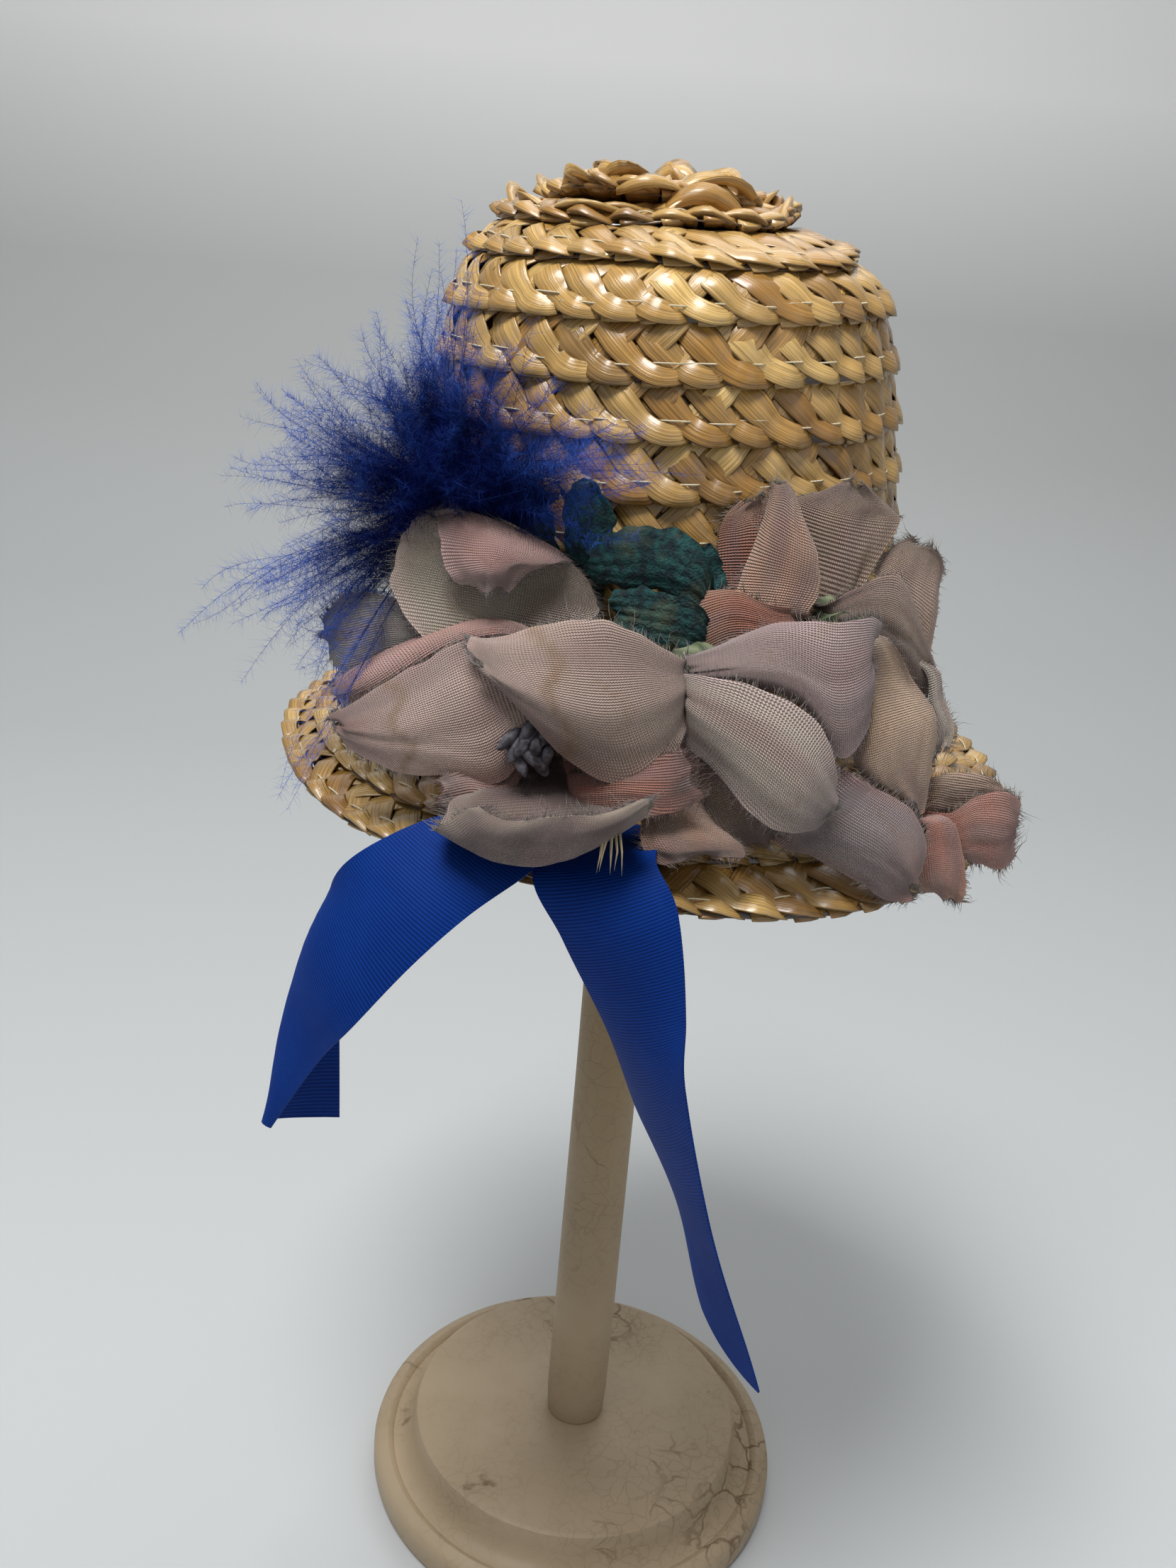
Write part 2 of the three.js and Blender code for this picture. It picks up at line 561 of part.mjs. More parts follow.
    [[-2, -53, 262], [-2, -56, 257], [-1, -56, 251]],
    [[-9, -52, 261], [-9, -55, 256], [-9, -55, 251]],
    [[-14, -53, 257], [-14, -54, 255], [-14, -54, 253]],
  ] },
  { name: 'leaf_right', tint: 'leaf', rows: [
    [[6, -46, 243], [8, -46, 243], [10, -46, 243]],
    [[4, -52, 249], [8, -53, 249], [11, -52, 249]],
    [[2, -51, 255], [6, -51, 255], [10, -50, 254]],
    [[5, -50, 259], [6, -50, 259], [8, -50, 259]],
  ] },
  { name: 'leaf_upper', tint: 'leaf', rows: [
    [[-16, -45, 238], [-14, -45, 238], [-12, -45, 238]],
    [[-17, -50, 251], [-13, -51, 253], [-9, -50, 253]],
    [[-18, -49, 260], [-14, -50, 261], [-9, -49, 260]],
    [[-17, -48, 266], [-14, -49, 266], [-12, -49, 266]],
    [[-15, -48, 268], [-14, -49, 268], [-14, -49, 268]],
  ] },
  { name: 'leaf_left', tint: 'leaf', rows: [
    [[-19, -45, 237], [-17, -45, 238], [-15, -45, 239]],
    [[-25, -47, 251], [-21, -48, 252], [-18, -48, 253]],
    [[-30, -46, 258], [-25, -47, 259], [-20, -47, 259]],
    [[-29, -46, 264], [-25, -47, 264], [-21, -47, 264]],
    [[-27, -46, 267], [-25, -46, 267], [-24, -46, 267]],
  ] },
];

const narrowPetal = 15;
const petalSteps = 5;
const widthOf = ([first, , second]) => Math.hypot(...first.map((place, axis) => second[axis] - place));
for (const petal of petals) {
  const wall = petal.tint === 'leaf' ? leafWall : petalWall;
  const across = Math.max(...petal.rows.map(widthOf)) > narrowPetal ? 4 : 2;
  addSoftPiece(petal.name, walled(rowsSurface(petal.rows), petalSteps, across, wall), petal.tint, 0.85);
}

// Stamens: seed heads fused round a small disc at the heart of the left flower.
const stamenHeart = new THREE.Vector3(-20, -68, 227);
const stamenCount = 6;
const seedSize = [1.2, 1.4, 2.8];
const heartShape = new THREE.SphereGeometry(3, 6, 4).translate(...stamenHeart.toArray());
let stamenSolid = solidFrom(heartShape);
for (let i = 0; i < stamenCount; i += 1) {
  const turn = (2 * Math.PI * i) / stamenCount;
  const spread = i % 2 ? 2.2 : 4;
  const seed = new THREE.SphereGeometry(1, 5, 3).scale(...seedSize).rotateY(0.25 * Math.cos(turn));
  seed.translate(spread * Math.cos(turn), -2.6, 0.7 * spread * Math.sin(turn));
  seed.translate(...stamenHeart.toArray());
  stamenSolid = stamenSolid.add(solidFrom(seed));
}
addSoftPiece('stamens', stamenSolid, 'seed', 0.7);

// Plume: locks of down that fan out from a head against the crown. bow is how far a lock curves outward.
const plumeHead = new THREE.Vector3(-37, -38, 258);
const locks = [
  { tip: [-42, -40, 303], thick: 7, bow: 3 }, { tip: [-52, -38, 292], thick: 7, bow: 3 },
  { tip: [-31, -46, 294], thick: 7, bow: 3 }, { tip: [-58, -24, 294], thick: 6, bow: 3 },
  { tip: [-72, -38, 276], thick: 6, bow: 4 }, { tip: [-62, -44, 286], thick: 6, bow: 4 },
  { tip: [-76, -34, 260], thick: 6, bow: 4 }, { tip: [-86, -40, 236], thick: 4, bow: 6 },
  { tip: [-66, -40, 224], thick: 7, bow: 7 }, { tip: [-67, -54, 196], thick: 5, bow: 12 },
  { tip: [-68, -16, 264], thick: 7, bow: 4 }, { tip: [-50, -56, 278], thick: 6, bow: 2 },
  { tip: [-22, -54, 286], thick: 6, bow: 4 }, { tip: [-6, -58, 280], thick: 5, bow: 6 },
  { tip: [-12, -57, 268], thick: 5, bow: 5 }, { tip: [-44, -16, 290], thick: 6, bow: 5 },
  { tip: [-62, -56, 264], thick: 5, bow: 3 },
];
const headShape = new THREE.SphereGeometry(1, 8, 6).scale(11, 8, 15).translate(...plumeHead.toArray());
let plumeSolid = solidFrom(headShape);
for (const lock of locks) {
  const tip = new THREE.Vector3(...lock.tip);
  const middle = plumeHead.clone().lerp(tip, 0.5);
  const outward = new THREE.Vector3(middle.x, middle.y, 0).normalize();
  const curve = new THREE.QuadraticBezierCurve3(plumeHead, middle.addScaledVector(outward, lock.bow), tip);
  plumeSolid = plumeSolid.add(taperedTube(curve, lock.thick, 0.8, 2, 4));
}
addSoftPiece('plume', plumeSolid, 'plume', 0.9);

export default hat;
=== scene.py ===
import bpy
import math
import numpy as np
from mathutils import Matrix, Vector


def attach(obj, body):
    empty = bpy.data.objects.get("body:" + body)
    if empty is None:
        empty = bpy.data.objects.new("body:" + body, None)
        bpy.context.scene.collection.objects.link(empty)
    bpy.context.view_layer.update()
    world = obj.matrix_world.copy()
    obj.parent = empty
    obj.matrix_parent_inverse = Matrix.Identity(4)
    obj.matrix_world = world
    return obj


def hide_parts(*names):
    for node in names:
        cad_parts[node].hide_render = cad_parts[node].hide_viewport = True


# Looks of the doll's straw hat on its stand. Tables are in millimetres, Blender objects in metres.
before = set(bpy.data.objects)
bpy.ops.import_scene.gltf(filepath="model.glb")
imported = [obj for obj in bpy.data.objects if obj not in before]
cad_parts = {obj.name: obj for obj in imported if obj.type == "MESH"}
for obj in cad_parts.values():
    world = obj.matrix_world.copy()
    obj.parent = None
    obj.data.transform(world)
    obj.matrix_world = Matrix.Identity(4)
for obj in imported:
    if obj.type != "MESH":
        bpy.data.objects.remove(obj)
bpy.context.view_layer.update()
mm = 0.001
draws = np.random.default_rng(11)  # every scatter below, apart from the braid's lumps


def srgb(red, green, blue):
    shares = [value / 255 for value in (red, green, blue)]
    return [share / 12.92 if share < 0.04 else ((share + 0.055) / 1.055) ** 2.4 for share in shares]


def clearSelection():
    bpy.ops.object.select_all(action="DESELECT")


def smoothStep(low, high, values):
    share = np.clip((values - low) / (high - low), 0, 1)
    return share * share * (3 - 2 * share)


def unit(vectors):
    return vectors / np.maximum(np.linalg.norm(vectors, axis=-1, keepdims=True), 1e-9)


# Camera at the photograph's place
cameraSet = {"place": (-0.0101, -0.3016, 0.3151), "pitch": 67.9, "roll": 4.76, "lens": 34.18}
cameraTurn = Matrix.Rotation(math.radians(cameraSet["pitch"]), 4, "X")
cameraTurn = cameraTurn @ Matrix.Rotation(math.radians(cameraSet["roll"]), 4, "Z")
clearSelection()
bpy.ops.object.camera_add(location=cameraSet["place"], rotation=cameraTurn.to_euler())
camera = bpy.context.object
camera.data.lens = cameraSet["lens"]
camera.data.sensor_width = 36
camera.data.clip_start = 0.01
bpy.context.scene.camera = camera
bpy.context.scene.view_settings.view_transform = "Standard"
print("camera placed")


# Node helpers: a value that is a socket is linked, any other is set on the input
def addNode(tree, kind, inputs=None, **settings):
    node = tree.nodes.new(kind)
    for key, value in settings.items():
        setattr(node, key, value)
    for socket, value in (inputs or {}).items():
        if isinstance(value, bpy.types.NodeSocket):
            tree.links.new(value, node.inputs[socket])
        else:
            node.inputs[socket].default_value = value
    return node


def mixColours(tree, factor, first, second, blend="MIX"):
    pair = [value if isinstance(value, bpy.types.NodeSocket) else (*value, 1) for value in (first, second)]
    inputs = {0: factor, 6: pair[0], 7: pair[1]}
    node = addNode(tree, "ShaderNodeMix", inputs, data_type="RGBA", blend_type=blend)
    return node.outputs[2]


def spread(tree, value, low, high, toLow=0.0, toHigh=1.0):
    inputs = {"Value": value, "From Min": low, "From Max": high, "To Min": toLow, "To Max": toHigh}
    return addNode(tree, "ShaderNodeMapRange", inputs).outputs["Result"]


def maths(tree, operation, first, second=0.0):
    return addNode(tree, "ShaderNodeMath", {0: first, 1: second}, operation=operation).outputs[0]


def newFinish(name, roughness, **sockets):
    finish = bpy.data.materials.new(name)
    finish.use_nodes = True
    tree = finish.node_tree
    shader = tree.nodes["Principled BSDF"]
    shader.inputs["Roughness"].default_value = roughness
    for socket, value in sockets.items():
        shader.inputs[socket.replace("_", " ")].default_value = value
    return finish, tree, shader


def bumpInto(tree, shader, height, strength, distance):
    bump = addNode(tree, "ShaderNodeBump", {"Height": height, "Strength": strength, "Distance": distance})
    tree.links.new(bump.outputs["Normal"], shader.inputs["Normal"])


def startGroup(name, sockets, outputs):
    group = bpy.data.node_groups.new(name, "ShaderNodeTree")
    for socket, kind, value in sockets:
        made = group.interface.new_socket(name=socket, in_out="INPUT", socket_type=kind)
        if value is not None:
            made.default_value = value
    for socket in outputs:
        group.interface.new_socket(name=socket, in_out="OUTPUT", socket_type="NodeSocketFloat")
    return group, group.nodes.new("NodeGroupInput"), group.nodes.new("NodeGroupOutput")


# Mottle: soft worn blotches, from 0 to 1
mottle, mottleIn, mottleOut = startGroup(
    "mottle", [("Vector", "NodeSocketVector", None), ("Scale", "NodeSocketFloat", 60.0),
               ("Low", "NodeSocketFloat", 0.35), ("High", "NodeSocketFloat", 0.65)], ["Mask"])
mottleNoise = addNode(mottle, "ShaderNodeTexNoise", {"Vector": mottleIn.outputs["Vector"],
                                                     "Scale": mottleIn.outputs["Scale"], "Detail": 5.0})
mottleMask = spread(mottle, mottleNoise.outputs["Fac"], mottleIn.outputs["Low"], mottleIn.outputs["High"])
mottle.links.new(mottleMask, mottleOut.inputs["Mask"])

# Weave: plain woven threads on a map in millimetres, as a height and as the dark of the gaps
weave, weaveIn, weaveOut = startGroup(
    "weave", [("Vector", "NodeSocketVector", None), ("Threads", "NodeSocketFloat", 2.4)], ["Height", "Gap"])
weaveSplit = addNode(weave, "ShaderNodeSeparateXYZ", {"Vector": weaveIn.outputs["Vector"]})
weaveWaves = []
for axisName in ("X", "Y"):
    turns = maths(weave, "MULTIPLY", weaveSplit.outputs[axisName], weaveIn.outputs["Threads"])
    weaveWaves.append(maths(weave, "SINE", maths(weave, "MULTIPLY", turns, 2 * math.pi)))
weaveHeight = maths(weave, "MULTIPLY", weaveWaves[0], weaveWaves[1])
weaveGap = maths(weave, "MULTIPLY", *[maths(weave, "ABSOLUTE", wave) for wave in weaveWaves])
weave.links.new(spread(weave, weaveHeight, -1.0, 1.0), weaveOut.inputs["Height"])
weave.links.new(spread(weave, weaveGap, 0.0, 0.35, 1.0, 0.0), weaveOut.inputs["Gap"])


def placeGroup(tree, group, inputs):
    node = tree.nodes.new("ShaderNodeGroup")
    node.node_tree = group
    for socket, value in inputs.items():
        if isinstance(value, bpy.types.NodeSocket):
            tree.links.new(value, node.inputs[socket])
        else:
            node.inputs[socket].default_value = value
    return node.outputs


def objectCoords(tree):
    return addNode(tree, "ShaderNodeTexCoord").outputs["Object"]


def surfaceMap(tree):
    return addNode(tree, "ShaderNodeUVMap", uv_map="surface").outputs["UV"]


# vertex colours: the dye, with painted shade and light laid in on some pieces
def dyeAndLightOf(tree):
    return addNode(tree, "ShaderNodeVertexColor", layer_name="dye").outputs["Color"]


# Straw: flattened stalks with fibres along them
straw, tree, shader = newFinish("straw", 0.35, Specular_IOR_Level=0.7, Coat_Weight=0.55, Coat_Roughness=0.2)
stretched = addNode(tree, "ShaderNodeMapping", {"Vector": surfaceMap(tree), "Scale": (0.25, 5.0, 1.0)})
fibres = addNode(tree, "ShaderNodeTexNoise", {
    "Vector": stretched.outputs["Vector"], "Scale": 3.0, "Detail": 4.0})
blotch = placeGroup(tree, mottle, {"Vector": objectCoords(tree), "Scale": 90.0, "Low": 0.38, "High": 0.72})
fibreShade = spread(tree, fibres.outputs["Fac"], 0.3, 0.7, 0.5, 1.3)
toned = mixColours(tree, 1.0, dyeAndLightOf(tree), addNode(tree, "ShaderNodeCombineColor", {
    "Red": fibreShade, "Green": fibreShade, "Blue": fibreShade}).outputs["Color"], "MULTIPLY")
stained = mixColours(tree, maths(tree, "MULTIPLY", blotch["Mask"], 0.3), toned, srgb(140, 92, 40))
tree.links.new(stained, shader.inputs["Base Color"])
tree.links.new(spread(tree, fibres.outputs["Fac"], 0.3, 0.7, 0.22, 0.42), shader.inputs["Roughness"])
bumpInto(tree, shader, fibres.outputs["Fac"], 0.5, 0.0003)

# Sewing thread
thread, tree, shader = newFinish("thread", 0.7)
twist = addNode(tree, "ShaderNodeTexNoise", {"Vector": objectCoords(tree), "Scale": 1500.0})
tree.links.new(mixColours(tree, twist.outputs["Fac"], srgb(205, 190, 150), srgb(235, 225, 200)),
               shader.inputs["Base Color"])

# Silk: dyed in the piece, with painted shade and light in its vertex colours, faded, with an open weave
silk, tree, shader = newFinish("silk", 0.55, Sheen_Weight=0.25, Sheen_Roughness=0.4, Specular_IOR_Level=0.45)
silkWeave = placeGroup(tree, weave, {"Vector": surfaceMap(tree), "Threads": 1.55})
faded = placeGroup(tree, mottle, {"Vector": objectCoords(tree), "Scale": 130.0, "Low": 0.42, "High": 0.75})
spots = placeGroup(tree, mottle, {"Vector": objectCoords(tree), "Scale": 150.0, "Low": 0.7, "High": 0.76})
gapped = mixColours(tree, maths(tree, "MULTIPLY", silkWeave["Gap"], 0.85), dyeAndLightOf(tree), srgb(74, 58, 54))
aged = mixColours(tree, maths(tree, "MULTIPLY", faded["Mask"], 0.3), gapped, srgb(186, 172, 156))
spotted = mixColours(tree, maths(tree, "MULTIPLY", spots["Mask"], 0.4), aged, srgb(176, 134, 84))
tree.links.new(spotted, shader.inputs["Base Color"])
bumpInto(tree, shader, silkWeave["Height"], 1.0, 0.0005)

# Velvet: crushed pile, rubbed bare in patches
velvet, tree, shader = newFinish("velvet", 0.85, Sheen_Weight=0.05, Sheen_Roughness=0.4,
                                 Sheen_Tint=(*srgb(120, 175, 165), 1))
pile = placeGroup(tree, mottle, {"Vector": objectCoords(tree), "Scale": 700.0, "Low": 0.4, "High": 0.66})
piled = mixColours(tree, pile["Mask"], dyeAndLightOf(tree), srgb(24, 78, 76))
bare = placeGroup(tree, mottle, {"Vector": objectCoords(tree), "Scale": 125.0, "Low": 0.52, "High": 0.7})
rubbedBare = mixColours(tree, maths(tree, "MULTIPLY", bare["Mask"], 0.6), piled, srgb(92, 98, 72))
tree.links.new(rubbedBare, shader.inputs["Base Color"])
nap = addNode(tree, "ShaderNodeTexNoise", {"Vector": objectCoords(tree), "Scale": 2200.0, "Detail": 3.0})
bumpInto(tree, shader, nap.outputs["Fac"], 0.9, 0.0006)

# Grosgrain: worn a little pale on the ribs, over vertex colours with painted shade in the rib valleys
grosgrain, tree, shader = newFinish("grosgrain", 0.6, Specular_IOR_Level=0.1)
rubbed = placeGroup(tree, mottle, {"Vector": objectCoords(tree), "Scale": 120.0, "Low": 0.42, "High": 0.8})
rubbedBlue = mixColours(tree, maths(tree, "MULTIPLY", rubbed["Mask"], 0.22), dyeAndLightOf(tree), srgb(20, 70, 156))
tree.links.new(rubbedBlue, shader.inputs["Base Color"])
warp = addNode(tree, "ShaderNodeMapping", {"Vector": surfaceMap(tree), "Scale": (0.6, 9.0, 1.0)})
warpNoise = addNode(tree, "ShaderNodeTexNoise", {
    "Vector": warp.outputs["Vector"], "Scale": 1.0, "Detail": 3.0})
bumpInto(tree, shader, warpNoise.outputs["Fac"], 0.3, 0.0001)

# Down of the plume
down, tree, shader = newFinish("down", 0.8, Specular_IOR_Level=0.05)
tuft = placeGroup(tree, mottle, {"Vector": objectCoords(tree), "Scale": 200.0, "Low": 0.35, "High": 0.7})
tufted = mixColours(tree, maths(tree, "MULTIPLY", tuft["Mask"], 0.12), dyeAndLightOf(tree), srgb(8, 30, 150))
tree.links.new(tufted, shader.inputs["Base Color"])

# Seed heads
seedFinish, tree, shader = newFinish("seedHeads", 0.5)
dust = placeGroup(tree, mottle, {"Vector": objectCoords(tree), "Scale": 700.0, "Low": 0.4, "High": 0.7})
dusted = mixColours(tree, dust["Mask"], srgb(56, 54, 60), srgb(122, 118, 126))
tree.links.new(dusted, shader.inputs["Base Color"])
bumpInto(tree, shader, dust["Mask"], 0.3, 0.0003)

# Stem tape wound round the stalks
stemTape, tree, shader = newFinish("stemTape", 0.85)
tapeCoords = objectCoords(tree)
turnsOfTape = addNode(tree, "ShaderNodeTexWave", {"Vector": tapeCoords, "Scale": 110.0, "Distortion": 1.5},
                      bands_direction="DIAGONAL")
tree.links.new(mixColours(tree, turnsOfTape.outputs["Fac"], srgb(82, 92, 66), srgb(132, 140, 108)),
               shader.inputs["Base Color"])
bumpInto(tree, shader, turnsOfTape.outputs["Fac"], 0.6, 0.0005)

# Crackled paint over turned wood
paint, tree, shader = newFinish("crackledPaint", 0.6)
paintCoords = objectCoords(tree)
wander = addNode(tree, "ShaderNodeTexNoise", {"Vector": paintCoords, "Scale": 90.0, "Detail": 4.0})
bent = mixColours(tree, 0.012, paintCoords, wander.outputs["Color"])
cracks = addNode(tree, "ShaderNodeTexVoronoi", {"Vector": bent, "Scale": 95.0}, feature="DISTANCE_TO_EDGE")
fineCracks = addNode(tree, "ShaderNodeTexVoronoi", {"Vector": bent, "Scale": 260.0},
                     feature="DISTANCE_TO_EDGE")
chipped = placeGroup(tree, mottle, {"Vector": paintCoords, "Scale": 60.0, "Low": 0.7, "High": 0.74})
soiled = placeGroup(tree, mottle, {"Vector": paintCoords, "Scale": 28.0, "Low": 0.35, "High": 0.7})
crackLine = spread(tree, cracks.outputs["Distance"], 0.012, 0.045, 1.0, 0.0)
fineLine = spread(tree, fineCracks.outputs["Distance"], 0.01, 0.05, 1.0, 0.0)
fineLine = maths(tree, "MULTIPLY", fineLine, soiled["Mask"])
rare = placeGroup(tree, mottle, {"Vector": paintCoords, "Scale": 35.0, "Low": 0.58, "High": 0.68})
crackLine = maths(tree, "MULTIPLY", crackLine, rare["Mask"])
worn = maths(tree, "MAXIMUM", maths(tree, "MULTIPLY", crackLine, 0.7),
             maths(tree, "MULTIPLY", fineLine, 0.25))
worn = maths(tree, "MAXIMUM", worn, maths(tree, "MULTIPLY", chipped["Mask"], 0.7))
# painted shade: lighter on the foot, darker up the post towards the hat
paintHeight = addNode(tree, "ShaderNodeSeparateXYZ", {"Vector": paintCoords}).outputs["Z"]
footToShadedPost = mixColours(tree, spread(tree, paintHeight, 0.02, 0.16), srgb(180, 160, 132), srgb(148, 123, 82))
paintTone = mixColours(tree, maths(tree, "MULTIPLY", soiled["Mask"], 0.45), footToShadedPost, srgb(136, 116, 82))
tree.links.new(mixColours(tree, worn, paintTone, srgb(92, 66, 40)), shader.inputs["Base Color"])
tree.links.new(spread(tree, worn, 0.0, 1.0, 0.5, 0.85), shader.inputs["Roughness"])
bumpInto(tree, shader, maths(tree, "SUBTRACT", 1.0, worn), 0.5, 0.0005)

# Floor: painted shade darkens it a little way back, painted light brightens it again towards the sweep and up
# the wall
floorFinish, tree, shader = newFinish("paleFloor", 0.8)
floorPlace = addNode(tree, "ShaderNodeSeparateXYZ", {"Vector": objectCoords(tree)})
nearToFar = mixColours(tree, spread(tree, floorPlace.outputs["Y"], 0.05, 0.5),
                       srgb(204, 207, 208), srgb(186, 189, 189))
farther = mixColours(tree, spread(tree, floorPlace.outputs["Y"], 0.8, 1.6), nearToFar, srgb(200, 202, 201))
upTheWall = mixColours(tree, spread(tree, floorPlace.outputs["Z"], 0.15, 0.5), farther, srgb(251, 251, 249))
tree.links.new(upTheWall, shader.inputs["Base Color"])
print("finishes made")


# A mesh from arrays in millimetres, with its surface map and its vertex colours of dye and painted light
def dressMesh(mesh, maps=None, dyes=None):
    corners = np.empty(len(mesh.loops), dtype=np.int32)
    mesh.loops.foreach_get("vertex_index", corners)
    if maps is not None:
        layer = mesh.uv_layers.get("surface") or mesh.uv_layers.new(name="surface")
        layer.data.foreach_set("uv", maps[corners].astype(np.float32).ravel())
    if dyes is not None:
        colour = mesh.color_attributes.new("dye", "FLOAT_COLOR", "POINT")
        filled = np.ones((len(dyes), 4), dtype=np.float32)
        filled[:, :3] = dyes
        colour.data.foreach_set("color", filled.ravel())


def pieceFromArrays(name, points, faces, finish, maps=None, dyes=None):
    mesh = bpy.data.meshes.new(name)
    mesh.from_pydata((points * mm).tolist(), [], faces)
    dressMesh(mesh, maps, dyes)
    mesh.materials.append(finish)
    mesh.shade_smooth()
    piece = bpy.data.objects.new(name, mesh)
    bpy.context.scene.collection.objects.link(piece)
    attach(piece, "root")
    return piece


# Faces of many tubes of the same steps and sides, as index lists
def tubeFaces(count, steps, sides):
    start = np.arange(count)[:, None, None] * steps * sides
    step = np.arange(steps - 1)[None, :, None] * sides
    side = np.arange(sides)[None, None, :]
    after = (side + 1) % sides
    quads = np.stack([start + step + side, start + step + after, start + step + sides + after,
                      start + step + sides + side], axis=-1).reshape(-1, 4)
    firsts = np.arange(count)[:, None] * steps * sides
    startCaps = firsts + np.arange(sides)[::-1][None, :]
    endCaps = firsts + (steps - 1) * sides + np.arange(sides)[None, :]
    return quads.tolist() + startCaps.tolist() + endCaps.tolist()


# Points of round tubes along paths, an array of tubes, steps and places
def tubePoints(paths, radii, sides):
    along = unit(np.gradient(paths, axis=1))
    aside = unit(np.cross(along, np.array([0.31, 0.52, 0.79])))
    across = np.cross(along, aside)
    turn = np.arange(sides) * 2 * np.pi / sides
    ring = aside[:, :, None, :] * np.cos(turn)[None, None, :, None]
    ring = ring + across[:, :, None, :] * np.sin(turn)[None, None, :, None]
    return paths[:, :, None, :] + ring * radii[:, :, None, None]


# Pointed hairs: two rings of three points and a tip, for each path of three places
def spikePoints(paths, radius):
    radii = np.ones((len(paths), 2)) * np.array([radius, radius * 0.75])
    rings = tubePoints(paths[:, :2], radii, 3).reshape(len(paths), 6, 3)
    return np.concatenate([rings, paths[:, 2:3]], axis=1).reshape(-1, 3)


def spikeFaces(count):
    first = np.arange(count)[:, None] * 7
    faces = []
    for corners in ((0, 1, 4, 3), (1, 2, 5, 4), (2, 0, 3, 5), (3, 4, 6), (4, 5, 6), (5, 3, 6), (2, 1, 0)):
        faces += (first + np.array(corners)[None, :]).tolist()
    return faces


# Stand: circles are extruded and resized up the turned outline
standSet = {
    "sides": 128,
    "base": [(50, 0), (51.6, 0.6), (52, 2), (52, 6), (51.6, 7.4), (50.6, 8.2), (48.6, 8.9), (47.6, 8.5),
             (47, 7.8), (45, 8.2), (43, 9.6), (42, 12), (41.6, 15.2), (41.2, 16.4), (40.2, 17)],
    "post": [(7.2, 17.3), (7.6, 24), (7.5, 60), (7.3, 120), (7.5, 200), (7.5, 287.7), (21, 290), (26, 294),
             (27, 296), (26, 300), (22.5, 302), (14, 307), (5, 310.6), (1, 311.4)],
}


def turnPiece(name, outline, node):
    clearSelection()
    radius, height = outline[0]
    bpy.ops.mesh.primitive_circle_add(vertices=standSet["sides"], radius=radius * mm, fill_type="NGON",
                                      location=(0, 0, height * mm))
    piece = bpy.context.object
    piece.name = name
    bpy.ops.object.mode_set(mode="EDIT")
    bpy.ops.mesh.select_all(action="SELECT")
    for nextRadius, nextHeight in outline[1:]:
        climb = (0, 0, (nextHeight - height) * mm)
        bpy.ops.mesh.extrude_region_move(TRANSFORM_OT_translate={"value": climb})
        share = nextRadius / radius
        bpy.ops.transform.resize(value=(share, share, 1), center_override=(0, 0, nextHeight * mm))
        radius, height = nextRadius, nextHeight
    bpy.ops.mesh.select_all(action="SELECT")
    bpy.ops.mesh.normals_make_consistent(inside=False)
    bpy.ops.object.mode_set(mode="OBJECT")
    bpy.ops.object.transform_apply(location=True, rotation=True, scale=True)
    bpy.ops.object.shade_smooth_by_angle(angle=math.radians(40))
    piece.data.materials.append(paint)
    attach(piece, "root")
    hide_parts(node)


turnPiece("standFoot", standSet["base"], "stand_base")
turnPiece("standPost", standSet["post"], "stand_post")
print("stand turned")

# Braid: one long plait sewn in a spiral from the tip of the crown to the edge of the brim
hatSet = {
    "outline": [(0, 309), (6, 312), (11, 313.4), (17, 312.4), (21, 310.4), (28, 308), (35, 304),
                (39.6, 299.4), (42, 291), (43.6, 282), (45, 273), (46, 265), (47, 255), (48.1, 235),
                (48.6, 219), (50, 215), (54.3, 212.2), (62, 209.1), (69.8, 206.2), (77.5, 203.5)],
    "lean": -0.024, "headline": 216, "headlineRadius": 48.6, "brimRadius": 77.5,
    "droopBearing": -0.8, "droop": 5.5, "spread": 2.8, "waves": 5, "wave": 0.7, "tipShift": (-4, 3),
}
# The plait's strands start a gap apart and cross from edge to edge in half a wave. The start, pitch and turns
# lay its spiral, the rosette is the crumpled stretch at the tip, and the last four are colours; the last of
# them is painted shade for the gaps between the stalks
braidSet = {
    "pitch": 9.8, "width": 15.5, "strandWidth": 4.6, "gap": 7.8, "half": 19.5, "inset": 0.11, "tuck": -1.3,
    "proud": 1.6, "shingle": 0.12, "start": 6.0, "firstTurn": 2.2, "steps": 15, "rosette": 36.0,
    "strips": 40, "stripsTo": 330, "dusk": 0.22, "thick": 2.2, "lastTurn": 0.6,
    "rosetteFade": (14, 18), "wander": 2.2, "crumpleRise": (1.4, 1.6), "roll": 0.9, "narrow": 0.28,
    "edgeShade": (0.36, 0.98, 1.14, 0.98, 0.36, 0.4),
    "section": ((-0.5, -0.02), (-0.44, 0.2), (0.0, 0.36), (0.44, 0.2), (0.5, -0.02), (0.0, -0.14)),
    "risingWay": (-0.13, 0.8), "fallingWay": (0.2, 1.02),
    "risingLift": [(-0.13, -1.0), (-0.04, -0.1), (0.06, 0.85), (0.17, 0.7), (0.27, -0.3), (0.37, 0.4),
                   (0.47, 0.65), (0.6, 0.0), (0.72, -0.5), (1, -0.7)],
    "fallingLift": [(0.2, -0.2), (0.32, 0.2), (0.43, 0.5), (0.52, 0.25), (0.6, -0.4), (0.8, -0.7),
                    (1, -0.9)],
    "broad": [(-0.13, 0.75), (0.06, 0.9), (0.27, 0.95), (0.45, 1.25), (0.7, 1.15), (1, 0.9)],
    "pale": srgb(238, 198, 122), "gold": srgb(182, 134, 62), "deep": srgb(112, 71, 28),
    "gapShade": srgb(66, 42, 18),
}
outline = np.array(hatSet["outline"], dtype=float)
stretch = np.r_[0, np.cumsum(np.hypot(*np.diff(outline, axis=0).T))]
